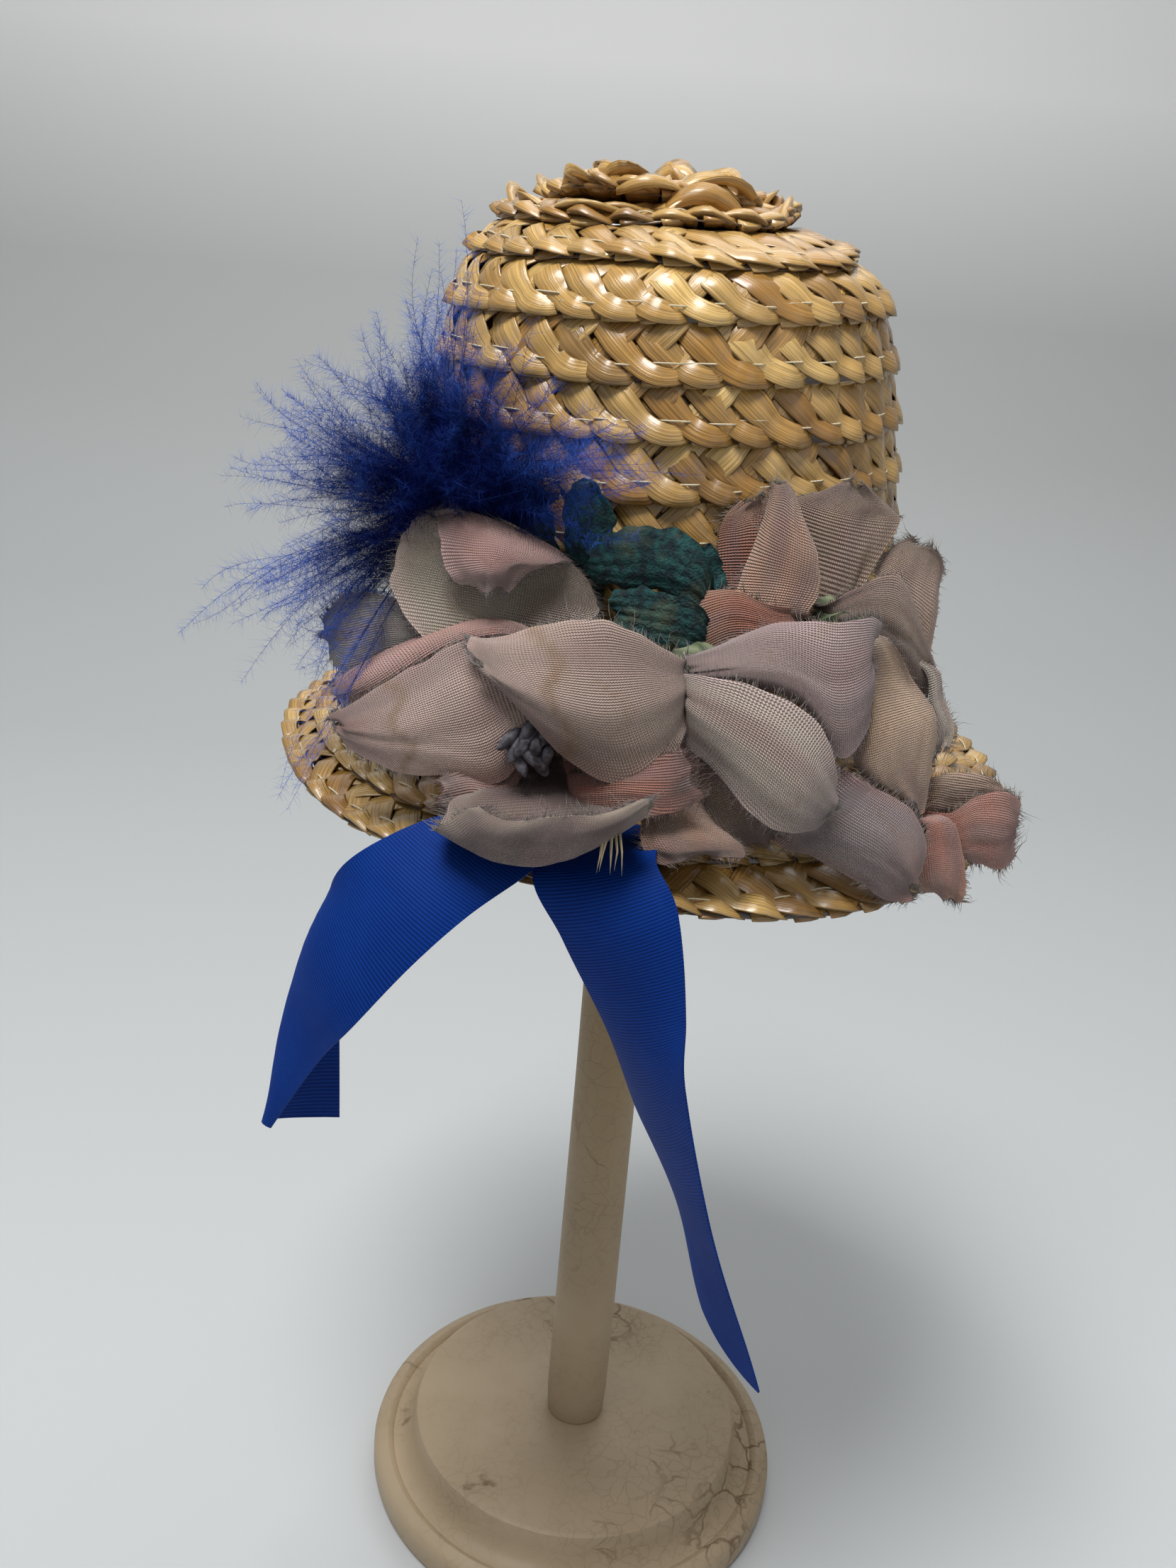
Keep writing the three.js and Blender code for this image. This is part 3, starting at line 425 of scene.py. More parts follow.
ladder = np.arange(0, stretch[-1], 0.25)
blur = np.ones(15) / 15


def blurred(values):
    padded = np.r_[np.full(7, values[0]), values, np.full(7, values[-1])]
    return np.convolve(padded, blur, "valid")


ladderRadius = blurred(np.interp(ladder, stretch, outline[:, 0]))
ladderHeight = blurred(np.interp(ladder, stretch, outline[:, 1]))
ladderRadius = ladderRadius - ladderRadius[0]
ladderSlope = unit(np.c_[np.gradient(ladderRadius), np.gradient(ladderHeight)])


# A place on the hat: how far along the outline, the angle, and the lift off the surface
def hatPoints(along, angle, lift):
    slopeR = np.interp(along, ladder, ladderSlope[:, 0])
    slopeZ = np.interp(along, ladder, ladderSlope[:, 1])
    radius = np.interp(along, ladder, ladderRadius) - slopeZ * lift
    height = np.interp(along, ladder, ladderHeight) + slopeR * lift
    breadth = hatSet["brimRadius"] - hatSet["headlineRadius"]
    part = np.clip((radius - hatSet["headlineRadius"]) / breadth, 0, 1.1)
    part = part * (height < hatSet["headline"] + 4)
    toward = np.cos(angle - hatSet["droopBearing"])
    dip = hatSet["droop"] * np.maximum(0, toward) ** 3 + hatSet["wave"] * np.sin(hatSet["waves"] * angle + 1)
    side = hatSet["lean"] * np.maximum(0, height - hatSet["headline"])
    nearTip = smoothStep(301, 313, height)
    side = side + hatSet["tipShift"][0] * nearTip
    radius = radius + part * hatSet["spread"] * toward
    height = height - part * part * dip
    back = hatSet["tipShift"][1] * nearTip
    return np.stack([radius * np.cos(angle) + side, radius * np.sin(angle) + back, height], axis=-1)


spiralTurns = (ladder[-1] - braidSet["start"]) / braidSet["pitch"] + braidSet["lastTurn"]
spiralTurn = np.arange(0, 2 * np.pi * spiralTurns, 0.01)
spiralAlong = np.minimum(braidSet["start"] + braidSet["pitch"] * spiralTurn / (2 * np.pi), ladder[-1])
spiralRadius = np.interp(spiralAlong, ladder, ladderRadius)
spiralLength = np.r_[0, np.cumsum(np.hypot(spiralRadius, braidSet["pitch"] / 6.28)[:-1] * 0.01)]
brimStart = float(np.interp(stretch[15], spiralAlong, spiralLength))  # length of braid in the crown


# Rough lumps that grow towards the tip, as sums of waves along the braid
def lumps(length, seed):
    phases = np.random.default_rng(seed).uniform(0, 6.28, 4)
    waves = [np.sin(length / gap + phase) for gap, phase in zip((5.1, 8.3, 13.7, 21.0), phases)]
    return sum(waves) / 2.2


def crumpleAt(length):
    lower = np.interp(length, spiralLength, spiralAlong)
    after, before = braidSet["rosetteFade"]
    return smoothStep(braidSet["rosette"] + after, braidSet["rosette"] - before, lower)


def braidPoints(length, across, lift):
    turn = np.interp(length, spiralLength, spiralTurn)
    lower = np.interp(length, spiralLength, spiralAlong)
    crumple = crumpleAt(length)
    inside = np.clip(across, 0, 1)
    along = np.maximum(lower - (1 - across) * braidSet["width"], 0.4)
    along = along + crumple * braidSet["wander"] * lumps(length, 3) + 0.25 * lumps(length * 0.45, 4)
    rise = braidSet["tuck"] + (braidSet["proud"] - braidSet["tuck"]) * inside
    steady, lumpy = braidSet["crumpleRise"]
    rise = rise + crumple * (inside - 0.25) * (steady + lumpy * lumps(length, 5))
    rise = rise + 0.2 * lumps(length * 0.6, 6) * inside
    rise = rise + crumple * braidSet["roll"] * lumps(length * 0.7, 8)
    angle = braidSet["firstTurn"] - turn
    return hatPoints(np.clip(along, 0.2, ladder[-1]), angle, rise + lift)


# A row's visible tiles: rising strands make the rope along the lower edge and the leaves above the stitches,
# falling strands show between the leaves. Lifts and widths are read at shares of a strand's way across
def strandGrid(first, last, rising):
    starts = np.arange(first, last, braidSet["gap"])
    starts = starts + draws.normal(0, 0.5, len(starts))
    shares = np.linspace(*braidSet["risingWay" if rising else "fallingWay"], braidSet["steps"])[None, :]
    swing = 0.5 - braidSet["inset"]
    across = 0.5 + (swing if rising else -swing) * np.cos(np.pi * shares)
    along = starts[:, None] + shares * braidSet["half"]
    lift = np.interp(shares, *zip(*braidSet["risingLift" if rising else "fallingLift"]))
    lift = lift * draws.normal(1, 0.18, len(starts))[:, None] + draws.normal(0, 0.14, len(starts))[:, None]
    broad = braidSet["strandWidth"] * np.interp(shares, *zip(*braidSet["broad"]))
    broad = broad * draws.normal(1, 0.09, len(starts))[:, None] * (1 - braidSet["narrow"] * crumpleAt(along))
    slope = np.gradient(across[0] * braidSet["width"], shares[0] * braidSet["half"])
    asideAlong = -slope / np.hypot(slope, 1)
    asideAcross = 1 / np.hypot(slope, 1)
    rolled = draws.normal(braidSet["shingle"] if rising else 0, 0.05, len(starts))[:, None]
    points = []
    for offset, level in braidSet["section"]:
        aside = offset * broad
        acrossHere = across + aside * asideAcross / braidSet["width"]
        beyond = np.maximum(0, acrossHere - 1) * braidSet["width"]
        lengthHere = np.clip(along + aside * asideAlong, 0, spiralLength[-1])
        thick = 1 + braidSet["thick"] * crumpleAt(lengthHere) * (8 if level < -0.1 else 1)
        liftHere = lift + level * thick - rolled * aside * asideAlong - 0.35 * beyond
        points.append(braidPoints(lengthHere, np.minimum(acrossHere, 1.0 + 0.01 * level), liftHere))
    count, sides = len(starts), len(points)
    tones = [np.array(braidSet[tone]) for tone in ("pale", "gold", "deep")]
    shade = np.clip(draws.normal(0.5, 0.34, count), 0, 1)[:, None]
    dark = np.clip(draws.normal(0.06, 0.22, count), 0, 0.7)[:, None]
    dyes = tones[0] + (tones[1] - tones[0]) * shade
    dyes = dyes + (tones[2] - dyes) * dark
    # painted shade: the lower rows are darkened, away from the light above
    height = np.interp(along, spiralLength, np.interp(spiralAlong, ladder, ladderHeight))
    dusk = 1 - braidSet["dusk"] * smoothStep(305, 225, height)
    # edgeShade paints shade on each stalk's edges and underside and a painted highlight along its crown
    edgeShade = np.array(braidSet["edgeShade"])
    dyes = dyes[:, None, None, :] * (dusk[:, :, None] * edgeShade[None, None, :])[:, :, :, None]
    sideMap = np.array([offset for offset, _ in braidSet["section"]]) + 0.5
    maps = np.stack(np.broadcast_arrays((along * 0.1)[:, :, None], sideMap[None, None, :]), axis=-1)
    return np.stack(points, axis=2).reshape(-1, 3), maps.reshape(-1, 2), dyes.reshape(-1, 3), count, sides


# Loose strips that stand on edge in the crumpled rosette: start, length, place across, width, tilt and bump
def rosetteStrips():
    count = braidSet["strips"]
    share = np.linspace(0, 1, 9)[None, :]
    hump = np.sin(np.pi * share)
    along = draws.uniform(8, braidSet["stripsTo"], count)[:, None]
    along = along + share * draws.uniform(11, 20, count)[:, None]
    across = draws.uniform(0.55, 1.0, count)[:, None] + draws.normal(0, 0.12, count)[:, None] * share
    lift = 0.4 + draws.uniform(0.6, 3.2, count)[:, None] * hump - 1.2 * (1 - hump)
    tilt = draws.uniform(0.1, 1.5, count)[:, None] + draws.normal(0, 1.0, count)[:, None] * share
    broad = draws.uniform(2.8, 4.8, count)[:, None] * (0.45 + 0.55 * hump ** 0.6)
    points = []
    for offset, level in ((-0.5, 0.0), (0.0, 0.8), (0.5, 0.0), (0.0, -0.7)):
        sideways = offset * broad * np.cos(tilt) - level * np.sin(tilt)
        upward = offset * broad * np.sin(tilt) + level * np.cos(tilt)
        points.append(braidPoints(along, across + sideways / braidSet["width"], lift + upward))
    shade = draws.uniform(0.0, 1.0, count)[:, None, None]
    dyes = np.array(braidSet["pale"]) * (1 - shade) + np.array(braidSet["gold"]) * shade
    dyes = np.broadcast_to(dyes[:, :, None, :], (count, 9, 4, 3)).reshape(-1, 3)
    maps = np.stack(np.broadcast_arrays((along * 0.1)[:, :, None], np.array([0, 0.5, 1, 0.5])), axis=-1)
    return np.stack(points, axis=2).reshape(-1, 3), maps.reshape(-1, 2), dyes, tubeFaces(count, 9, 4)


def braidPiece(name, first, last, node):
    points, maps, dyes, faces = [], [], [], []
    held = 0
    for rising in (True, False):
        strandPoints, strandMaps, strandDyes, count, sides = strandGrid(first, last, rising)
        points.append(strandPoints)
        maps.append(strandMaps)
        dyes.append(strandDyes)
        faces += [[index + held for index in face] for face in tubeFaces(count, braidSet["steps"], sides)]
        held += len(strandPoints)
    # a thin strip down the middle of the plait closes the gaps between the stalks; its dark brown is painted
    # shade for the gaps
    stripLength = np.linspace(first, last, int((last - first) / 5))
    corners = []
    for edge, level in ((0.1, -1.1), (0.5, -1.1), (0.96, -1.1), (0.96, -0.8), (0.5, -0.8), (0.1, -0.8)):
        corners.append(braidPoints(stripLength, np.full(len(stripLength), edge), level))
    strip = np.stack(corners, axis=1).reshape(-1, 3)
    points.append(strip)
    maps.append(np.c_[np.repeat(stripLength * 0.1, 6), np.tile([0, 0.5, 1, 1, 0.5, 0], len(stripLength))])
    dyes.append(np.ones((len(strip), 1)) * np.array(braidSet["gapShade"]))
    faces += [[index + held for index in face] for face in tubeFaces(1, len(stripLength), 6)]
    held += len(strip)
    if node == "crown":
        loosePoints, looseMaps, looseDyes, looseFaces = rosetteStrips()
        points.append(loosePoints)
        maps.append(looseMaps)
        dyes.append(looseDyes)
        faces += [[index + held for index in face] for face in looseFaces]
    piece = pieceFromArrays(name, np.concatenate(points), faces, straw, np.concatenate(maps),
                            np.concatenate(dyes))
    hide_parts(node)


braidPiece("crownBraid", 4, brimStart, "crown")
braidPiece("brimBraid", brimStart, spiralLength[-1] - 6, "brim")
print("braid sewn", round(float(spiralLength[-1])), "mm long")

# Stitches that hold each row to the one above it
stitchSet = {"gap": 7.8, "long": 5.6, "across": 0.755, "radius": 0.17, "height": 0.6}
stitchStart = np.arange(150, spiralLength[-1] - 12, stitchSet["gap"])
stitchStart = stitchStart + draws.normal(0, 0.6, len(stitchStart))
bow = np.linspace(0, 1, 6)[None, :]
stitchVary = draws.normal(1, 0.15, len(stitchStart))[:, None]
stitchLength = stitchStart[:, None] + bow * stitchSet["long"] * stitchVary
stitchAcross = stitchSet["across"] + draws.normal(0, 0.03, len(stitchStart))[:, None] + 0 * bow
stitchLift = 0.05 + stitchSet["height"] * np.sin(np.pi * bow) ** 0.6 + 0 * stitchLength
stitchPaths = braidPoints(stitchLength, stitchAcross, stitchLift)
stitchRing = tubePoints(stitchPaths, np.full(stitchPaths.shape[:2], stitchSet["radius"]), 4)
pieceFromArrays("stitches", stitchRing.reshape(-1, 3), tubeFaces(len(stitchStart), 6, 4), thread)
print("rows stitched")


# Sheets start as a flat grid and are bent by a shape function of u along and v across
def bentGrid(name, uSteps, vSteps, shape, wall, finish):
    clearSelection()
    bpy.ops.mesh.primitive_grid_add(x_subdivisions=uSteps, y_subdivisions=vSteps, size=2)
    piece = bpy.context.object
    piece.name = name
    flat = np.empty(len(piece.data.vertices) * 3)
    piece.data.vertices.foreach_get("co", flat)
    flat = flat.reshape(-1, 3)
    points, maps, dyes = shape((flat[:, 0] + 1) / 2, flat[:, 1])
    piece.data.vertices.foreach_set("co", (points * mm).ravel())
    while piece.data.uv_layers:
        piece.data.uv_layers.remove(piece.data.uv_layers[0])
    dressMesh(piece.data, maps, dyes)
    solid = piece.modifiers.new("wall", "SOLIDIFY")
    solid.thickness = wall * mm
    solid.offset = 0
    bpy.ops.object.modifier_apply(modifier=solid.name)
    piece.data.materials.append(finish)
    bpy.ops.object.shade_smooth_by_angle(angle=math.radians(50))
    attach(piece, "root")
    return piece


# Ribbon ends: rows of outer edge, middle and inner edge from the flowers to the cut end
ribbonSet = {
    "rib": 0.63, "ribHeight": 0.1, "rowsPerRib": 4, "wall": 0.4, "width": 0.022,
    # dark is painted shade for the valleys between the ribs
    "blue": srgb(8, 58, 145), "dark": srgb(2, 24, 78),
    "tails": {
        "ribbonTailLeft": ("ribbon_tail_left", [
            ((-23, -57, 210), (-16, -60, 210), (-9, -62, 210)),
            ((-34, -72, 214), (-26, -77, 211), (-19, -80, 208)),
            ((-44, -76, 210), (-36, -82, 206), (-28, -85, 202)),
            ((-51, -74, 203), (-45, -83, 199), (-37, -88, 193)),
            ((-54, -67, 193), (-54, -78, 191), (-46, -88, 181)),
            ((-53, -62, 178), (-60, -72, 177), (-53, -83, 170)),
            ((-52, -65, 147), (-63, -73, 151), (-62, -77, 152))]),
        "ribbonTailRight": ("ribbon_tail_right", [
            ((-13, -59, 210), (-4, -60, 210), (6, -60, 210)),
            ((-18, -79, 208), (-8, -80, 210), (2, -80, 213)),
            ((-12, -82, 198), (-3, -86, 202), (6, -87, 207)),
            ((-4, -78, 180), (2, -85, 184), (9, -91, 190)),
            ((3, -74, 162), (6, -84, 167), (10, -93, 177)),
            ((11, -73, 145), (13, -83, 148), (16, -93, 154)),
            ((20, -73, 117), (24, -82, 114), (30, -91, 113))]),
    },
}


# A smooth line through points, read at shares from 0 to 1
def throughPoints(points, shares):
    points = np.array(points, dtype=float)
    padded = np.r_[[2 * points[0] - points[1]], points, [2 * points[-1] - points[-2]]]
    spot = np.clip(shares, 0, 1) * (len(points) - 1)
    cell = np.minimum(spot.astype(int), len(points) - 2)
    t = (spot - cell)[:, None]
    a, b, c, d = (padded[cell + step] for step in range(4))
    square, cube = 2 * a - 5 * b + 4 * c - d, 3 * b - a - 3 * c + d
    return 0.5 * (2 * b + (c - a) * t + square * t ** 2 + cube * t ** 3)


# A sheet through rows of first edge, middle and second edge, read at u along and v across
def sheetThrough(rows):
    edges = [[row[place] for row in rows] for place in range(3)]

    def place(u, v):
        first, middle, second = (throughPoints(edge, u) for edge in edges)
        w = v[:, None]
        return first * (w * (w - 1) / 2) + middle * (1 - w * w) + second * (w * (w + 1) / 2)

    def normal(u, v):
        alongStep = place(np.minimum(u + 0.004, 1), v) - place(np.maximum(u - 0.004, 0), v)
        acrossStep = place(u, v + 0.01) - place(u, v - 0.01)
        return unit(np.cross(alongStep, acrossStep))

    return place, normal


def ribbonShape(rows):
    place, normal = sheetThrough(rows)
    shares = np.linspace(0, 1, 400)
    middle = place(shares, np.zeros(400))
    travelled = np.r_[0, np.cumsum(np.linalg.norm(np.diff(middle, axis=0), axis=1))]

    def shape(u, v):
        share = np.interp(u * travelled[-1], travelled, shares)
        length = u * travelled[-1]
        ribs = np.sin(np.pi * length / ribbonSet["rib"]) ** 2
        selvedge = smoothStep(0.93, 1.0, np.abs(v))
        ripple = 0.25 * np.sin(length / 7.0) * v + 0.2 * np.sin(length / 4.3 + 1) * (1 - v * v)
        out = ribbonSet["ribHeight"] * ribs * (1 - selvedge) + ripple
        blue, dark = np.array(ribbonSet["blue"]), np.array(ribbonSet["dark"])
        # painted shade: the colour is darker in the valleys between the ribs
        dyes = dark + (blue - dark) * (0.1 + 0.9 * ribs)[:, None]
        return place(share, v) + normal(share, v) * out[:, None], np.c_[length, v * 11], dyes

    return shape, travelled[-1]


for pieceName, (nodeName, rows) in ribbonSet["tails"].items():
    tailShape, tailLength = ribbonShape(rows)
    ribRows = int(tailLength / ribbonSet["rib"] * ribbonSet["rowsPerRib"])
    tail = bentGrid(pieceName, ribRows, 14, tailShape, ribbonSet["wall"], grosgrain)
    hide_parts(nodeName)
print("ribbons hung")

# Petals and leaves: each runs from its root to its tip through rows of first edge, middle and second edge
petalTints = {
    "pearl": srgb(200, 180, 170), "blush": srgb(226, 202, 194), "rose": srgb(190, 150, 146),
    "ash": srgb(196, 191, 176), "slate": srgb(166, 165, 166), "lip": srgb(206, 162, 156),
    "ivory": srgb(200, 190, 180), "lilac": srgb(172, 154, 160), "orchid": srgb(200, 180, 180),
    "amber": srgb(214, 186, 158), "heather": srgb(154, 143, 148), "russet": srgb(182, 122, 102),
    "clay": srgb(202, 163, 142), "khaki": srgb(186, 163, 144), "sand": srgb(196, 168, 152),
    # mauve is a rose silk painted dark, as painted shade in the cup and under the flower
    "taupe": srgb(164, 144, 130), "coral": srgb(196, 132, 116), "mauve": srgb(118, 98, 96),
    "cream": srgb(212, 200, 186), "gauze": srgb(208, 202, 192), "ochre": srgb(180, 136, 76),
    "leaf": srgb(6, 32, 38),
}
petalTable = [
    ("petal_right_front", "ivory", "lilac", [
        ((7, -66, 239), (7, -66, 237), (7, -66, 235)),
        ((4, -70, 242), (5, -72, 237), (5, -70, 230)),
        ((13, -71, 241), (12, -75, 234), (11, -72, 226)),
        ((22, -71, 238), (19, -77, 231), (17, -74, 221)),
        ((28, -71, 233), (25, -77, 227), (23, -75, 218)),
        ((31, -72, 227), (29, -75, 223), (28, -74, 218)),
        ((31, -73, 223), (31, -74, 222), (30, -74, 220))]),
    ("petal_centre", "pearl", "blush", [
        ((4, -66, 242), (4, -66, 240), (4, -66, 238)),
        ((3, -70, 244), (4, -72, 240), (5, -70, 234)),
        ((-4, -71, 248), (-1, -75, 239), (3, -72, 228)),
        ((-11, -69, 249), (-8, -76, 238), (-4, -73, 223)),
        ((-19, -67, 247), (-16, -76, 239), (-13, -73, 226)),
        ((-28, -65, 244), (-25, -73, 240), (-22, -72, 233)),
        ((-33, -64, 243), (-31, -69, 242), (-30, -70, 240))]),
    ("petal_left_front", "blush", "rose", [
        ((-15, -62, 237), (-15, -63, 235), (-15, -64, 233)),
        ((-22, -64, 243), (-20, -69, 237), (-19, -68, 228)),
        ((-33, -62, 242), (-29, -69, 232), (-25, -68, 219)),
        ((-40, -60, 237), (-37, -67, 229), (-35, -66, 219)),
        ((-47, -58, 231), (-45, -64, 226), (-43, -63, 218)),
        ((-53, -57, 226), (-52, -61, 224), (-51, -60, 220)),
        ((-56, -56, 224), (-55, -57, 223), (-55, -57, 222))]),
    ("petal_right_upper", "orchid", "lilac", [
        ((7, -63, 244), (8, -64, 242), (9, -65, 240)),
        ((4, -68, 244), (5, -69, 242), (6, -69, 241)),
        ((11, -66, 247), (13, -70, 244), (15, -69, 240)),
        ((19, -64, 250), (21, -69, 244), (24, -68, 237)),
        ((28, -62, 250), (29, -67, 240), (32, -66, 228)),
        ((34, -60, 251), (35, -64, 242), (36, -63, 232)),
        ((37, -58, 249), (36, -60, 245), (36, -60, 239))]),
    ("petal_cup", "mauve", "cream", [
        ((-18, -62, 228), (-16, -62, 228), (-14, -62, 228)),
        ((-27, -62, 219), (-20, -60, 219), (-13, -62, 220)),
        ((-32, -73, 218), (-18, -70, 218), (-4, -72, 219)),
        ((-34, -82, 216), (-18, -86, 213), (-1, -82, 221)),
        ((-31, -86, 220), (-16, -91, 219), (0, -86, 225)),
        ((-27, -87, 223), (-15, -91, 224), (-2, -86, 226))]),
    ("petal_cup_side", "coral", "mauve", [
        ((-12, -61, 232), (-12, -62, 230), (-12, -63, 228)),
        ((-14, -67, 222), (-13, -69, 220), (-13, -69, 217)),
        ((-4, -71, 225), (-4, -75, 223), (-3, -75, 219)),
        ((3, -74, 229), (3, -77, 225), (3, -77, 220)),
        ((5, -74, 230), (7, -76, 227), (9, -76, 223))]),
    ("petal_cup_left", "rose", "mauve", [
        ((-18, -61, 231), (-18, -62, 229), (-18, -63, 227)),
        ((-24, -66, 220), (-24, -68, 218), (-24, -68, 215)),
        ((-31, -67, 220), (-30, -70, 218), (-29, -70, 214)),
        ((-35, -69, 220), (-35, -72, 218), (-35, -73, 214))]),
    ("petal_left_lip", "lip", "rose", [
        ((-16, -61, 239), (-17, -62, 237), (-18, -63, 235)),
        ((-22, -58, 244), (-23, -60, 243), (-23, -59, 241)),
        ((-31, -54, 244), (-31, -60, 243), (-32, -59, 240)),
        ((-41, -52, 239), (-39, -58, 239), (-38, -57, 235)),
        ((-50, -49, 233), (-48, -55, 232), (-46, -54, 229)),
        ((-56, -47, 228), (-55, -51, 227), (-54, -50, 225)),
        ((-58, -47, 227), (-57, -48, 226), (-57, -48, 225))]),
    ("petal_left_upper", "ash", "blush", [
        ((-19, -58, 236), (-17, -58, 236), (-15, -58, 236)),
        ((-39, -55, 238), (-27, -57, 240), (-16, -57, 241)),
        ((-47, -50, 246), (-29, -54, 247), (-11, -54, 246)),
        ((-46, -49, 253), (-29, -53, 252), (-12, -53, 249)),
        ((-44, -48, 258), (-30, -52, 257), (-16, -52, 254)),
        ((-41, -48, 261), (-34, -50, 261), (-27, -51, 260))]),
    ("petal_left_fold", "rose", "orchid", [
        ((-40, -48, 261), (-29, -51, 260), (-16, -52, 255)),
        ((-39, -53, 258), (-28, -58, 257), (-18, -56, 255)),
        ((-36, -56, 252), (-29, -61, 254), (-23, -58, 254)),
        ((-32, -57, 249), (-29, -60, 250), (-26, -59, 250))]),
    ("petal_left_back", "slate", "ash", [
        ((-19, -54, 239), (-20, -54, 237), (-21, -54, 235)),
        ((-33, -51, 243), (-34, -52, 239), (-36, -51, 235)),
        ((-46, -47, 244), (-46, -49, 239), (-46, -49, 233)),
        ((-55, -42, 243), (-55, -45, 236), (-55, -45, 229)),
        ((-60, -39, 238), (-59, -41, 235), (-58, -42, 230)),
        ((-61, -38, 235), (-61, -39, 234), (-60, -39, 232))]),
    ("petal_right_lower", "heather", "rose", [
        ((10, -62, 237), (9, -62, 236), (8, -62, 235)),
        ((33, -64, 225), (27, -66, 219), (22, -66, 213)),
        ((39, -65, 223), (33, -69, 217), (29, -68, 210)),
        ((46, -64, 219), (41, -69, 214), (37, -68, 206)),
        ((49, -64, 213), (46, -68, 209), (43, -67, 203)),
        ((49, -65, 206), (48, -66, 205), (48, -66, 203))]),
    ("petal_right_amber", "amber", "sand", [
        ((29, -48, 243), (31, -48, 243), (33, -48, 243)),
        ((34, -56, 246), (36, -56, 246), (39, -55, 246)),
        ((35, -58, 239), (39, -57, 239), (46, -50, 237)),
        ((34, -61, 230), (42, -60, 232), (51, -50, 231)),
        ((37, -62, 223), (43, -61, 224), (51, -53, 223)),
        ((45, -60, 219), (47, -59, 217), (50, -57, 215))]),
    ("petal_shadow_rose", "clay", "mauve", [
        ((3, -62, 235), (5, -62, 235), (7, -62, 235)),
        ((1, -66, 221), (5, -67, 221), (9, -66, 221)),
        ((-1, -71, 217), (5, -73, 218), (11, -70, 217)),
        ((0, -76, 213), (8, -78, 215), (16, -74, 214)),
        ((4, -77, 211), (10, -78, 213), (16, -75, 212))]),
    ("petal_shadow_grey", "taupe", "mauve", [
        ((8, -62, 238), (8, -62, 236), (8, -62, 234)),
        ((7, -63, 227), (6, -64, 225), (6, -64, 222)),
        ((14, -66, 223), (12, -67, 221), (9, -66, 218)),
        ((22, -68, 217), (18, -69, 216), (14, -68, 213)),
        ((24, -69, 214), (21, -70, 213), (18, -69, 211))]),
    ("petal_rear_frayed", "russet", "clay", [
        ((29, -48, 248), (29, -48, 246), (29, -48, 244)),
        ((19, -58, 251), (20, -59, 248), (20, -59, 245)),
        ((12, -57, 253), (12, -59, 249), (12, -60, 244)),
        ((6, -56, 252), (6, -59, 247), (7, -60, 242)),
        ((4, -57, 251), (5, -58, 248), (5, -58, 245))]),
    ("petal_rear_rose", "clay", "sand", [
        ((27, -48, 247), (29, -48, 247), (31, -48, 247)),
        ((13, -55, 248), (19, -57, 249), (25, -55, 249)),
        ((13, -54, 254), (19, -56, 255), (26, -54, 254)),
        ((15, -52, 263), (19, -55, 262), (25, -53, 260)),
        ((16, -50, 269), (19, -52, 269), (21, -51, 268)),
        ((17, -49, 270), (18, -50, 270), (19, -50, 270))]),
    ("petal_rear_tan", "russet", "clay", [
        ((25, -45, 246), (27, -45, 246), (29, -45, 246)),
        ((12, -50, 246), (16, -51, 247), (19, -50, 247)),
        ((10, -48, 253), (15, -49, 254), (19, -49, 254)),
        ((9, -47, 261), (13, -48, 263), (18, -48, 264)),
        ((12, -47, 266), (14, -48, 267), (17, -47, 268))]),
    ("petal_rear_brown", "taupe", "sand", [
        ((26, -47, 249), (27, -47, 247), (28, -47, 245)),
        ((28, -53, 251), (30, -53, 248), (32, -52, 244)),
        ((34, -50, 254), (36, -51, 249), (38, -49, 243)),
        ((41, -46, 255), (43, -48, 246), (46, -45, 236)),
        ((47, -43, 247), (48, -44, 240), (50, -42, 232)),
        ((50, -41, 240), (50, -42, 237), (51, -41, 234))]),
    ("petal_rear_edge", "sand", "khaki", [
        ((29, -47, 248), (30, -46, 247), (31, -45, 246)),
        ((38, -45, 246), (43, -43, 241), (49, -40, 235)),
        ((38, -43, 252), (44, -42, 247), (51, -37, 241)),
        ((38, -40, 256), (44, -40, 254), (51, -35, 251)),
        ((41, -38, 259), (45, -38, 258), (51, -34, 255)),
        ((44, -37, 260), (46, -37, 259), (49, -35, 258))]),
    ("petal_rear_grey", "khaki", "taupe", [
        ((26, -44, 247), (28, -44, 247), (30, -44, 247)),
        ((23, -48, 247), (28, -48, 247), (33, -46, 248)),
        ((22, -45, 256), (29, -46, 256), (37, -42, 255)),
        ((21, -44, 265), (30, -45, 264), (41, -38, 263)),
        ((24, -44, 268), (31, -44, 267), (40, -38, 265)),
        ((29, -43, 270), (31, -43, 270), (33, -42, 270))]),
    ("petal_right_gauze", "gauze", "cream", [
        ((30, -49, 243), (32, -48, 243), (34, -47, 243)),
        ((47, -45, 239), (48, -45, 239), (50, -44, 239)),
        ((50, -45, 231), (51, -46, 232), (53, -43, 233)),
        ((51, -46, 225), (53, -46, 227), (55, -44, 228)),
        ((53, -46, 222), (53, -46, 223), (55, -45, 224))]),
    ("petal_brim_fold", "coral", "rose", [
        ((45, -42, 210), (46, -42, 208), (47, -42, 206)),
        ((55, -52, 214), (56, -53, 210), (58, -53, 206)),
        ((61, -50, 217), (61, -52, 211), (63, -51, 204)),
        ((67, -47, 217), (67, -49, 210), (68, -48, 202)),
        ((69, -46, 214), (70, -47, 210), (70, -46, 205))]),
    ("petal_brim_upper", "khaki", "clay", [
        ((44, -39, 211), (44, -39, 209), (44, -39, 207)),
        ((52, -48, 219), (52, -49, 216), (52, -49, 212)),
        ((57, -47, 220), (57, -48, 216), (57, -48, 212)),
        ((63, -45, 219), (63, -46, 216), (63, -46, 213)),
        ((67, -44, 216), (67, -45, 216), (67, -45, 215))]),
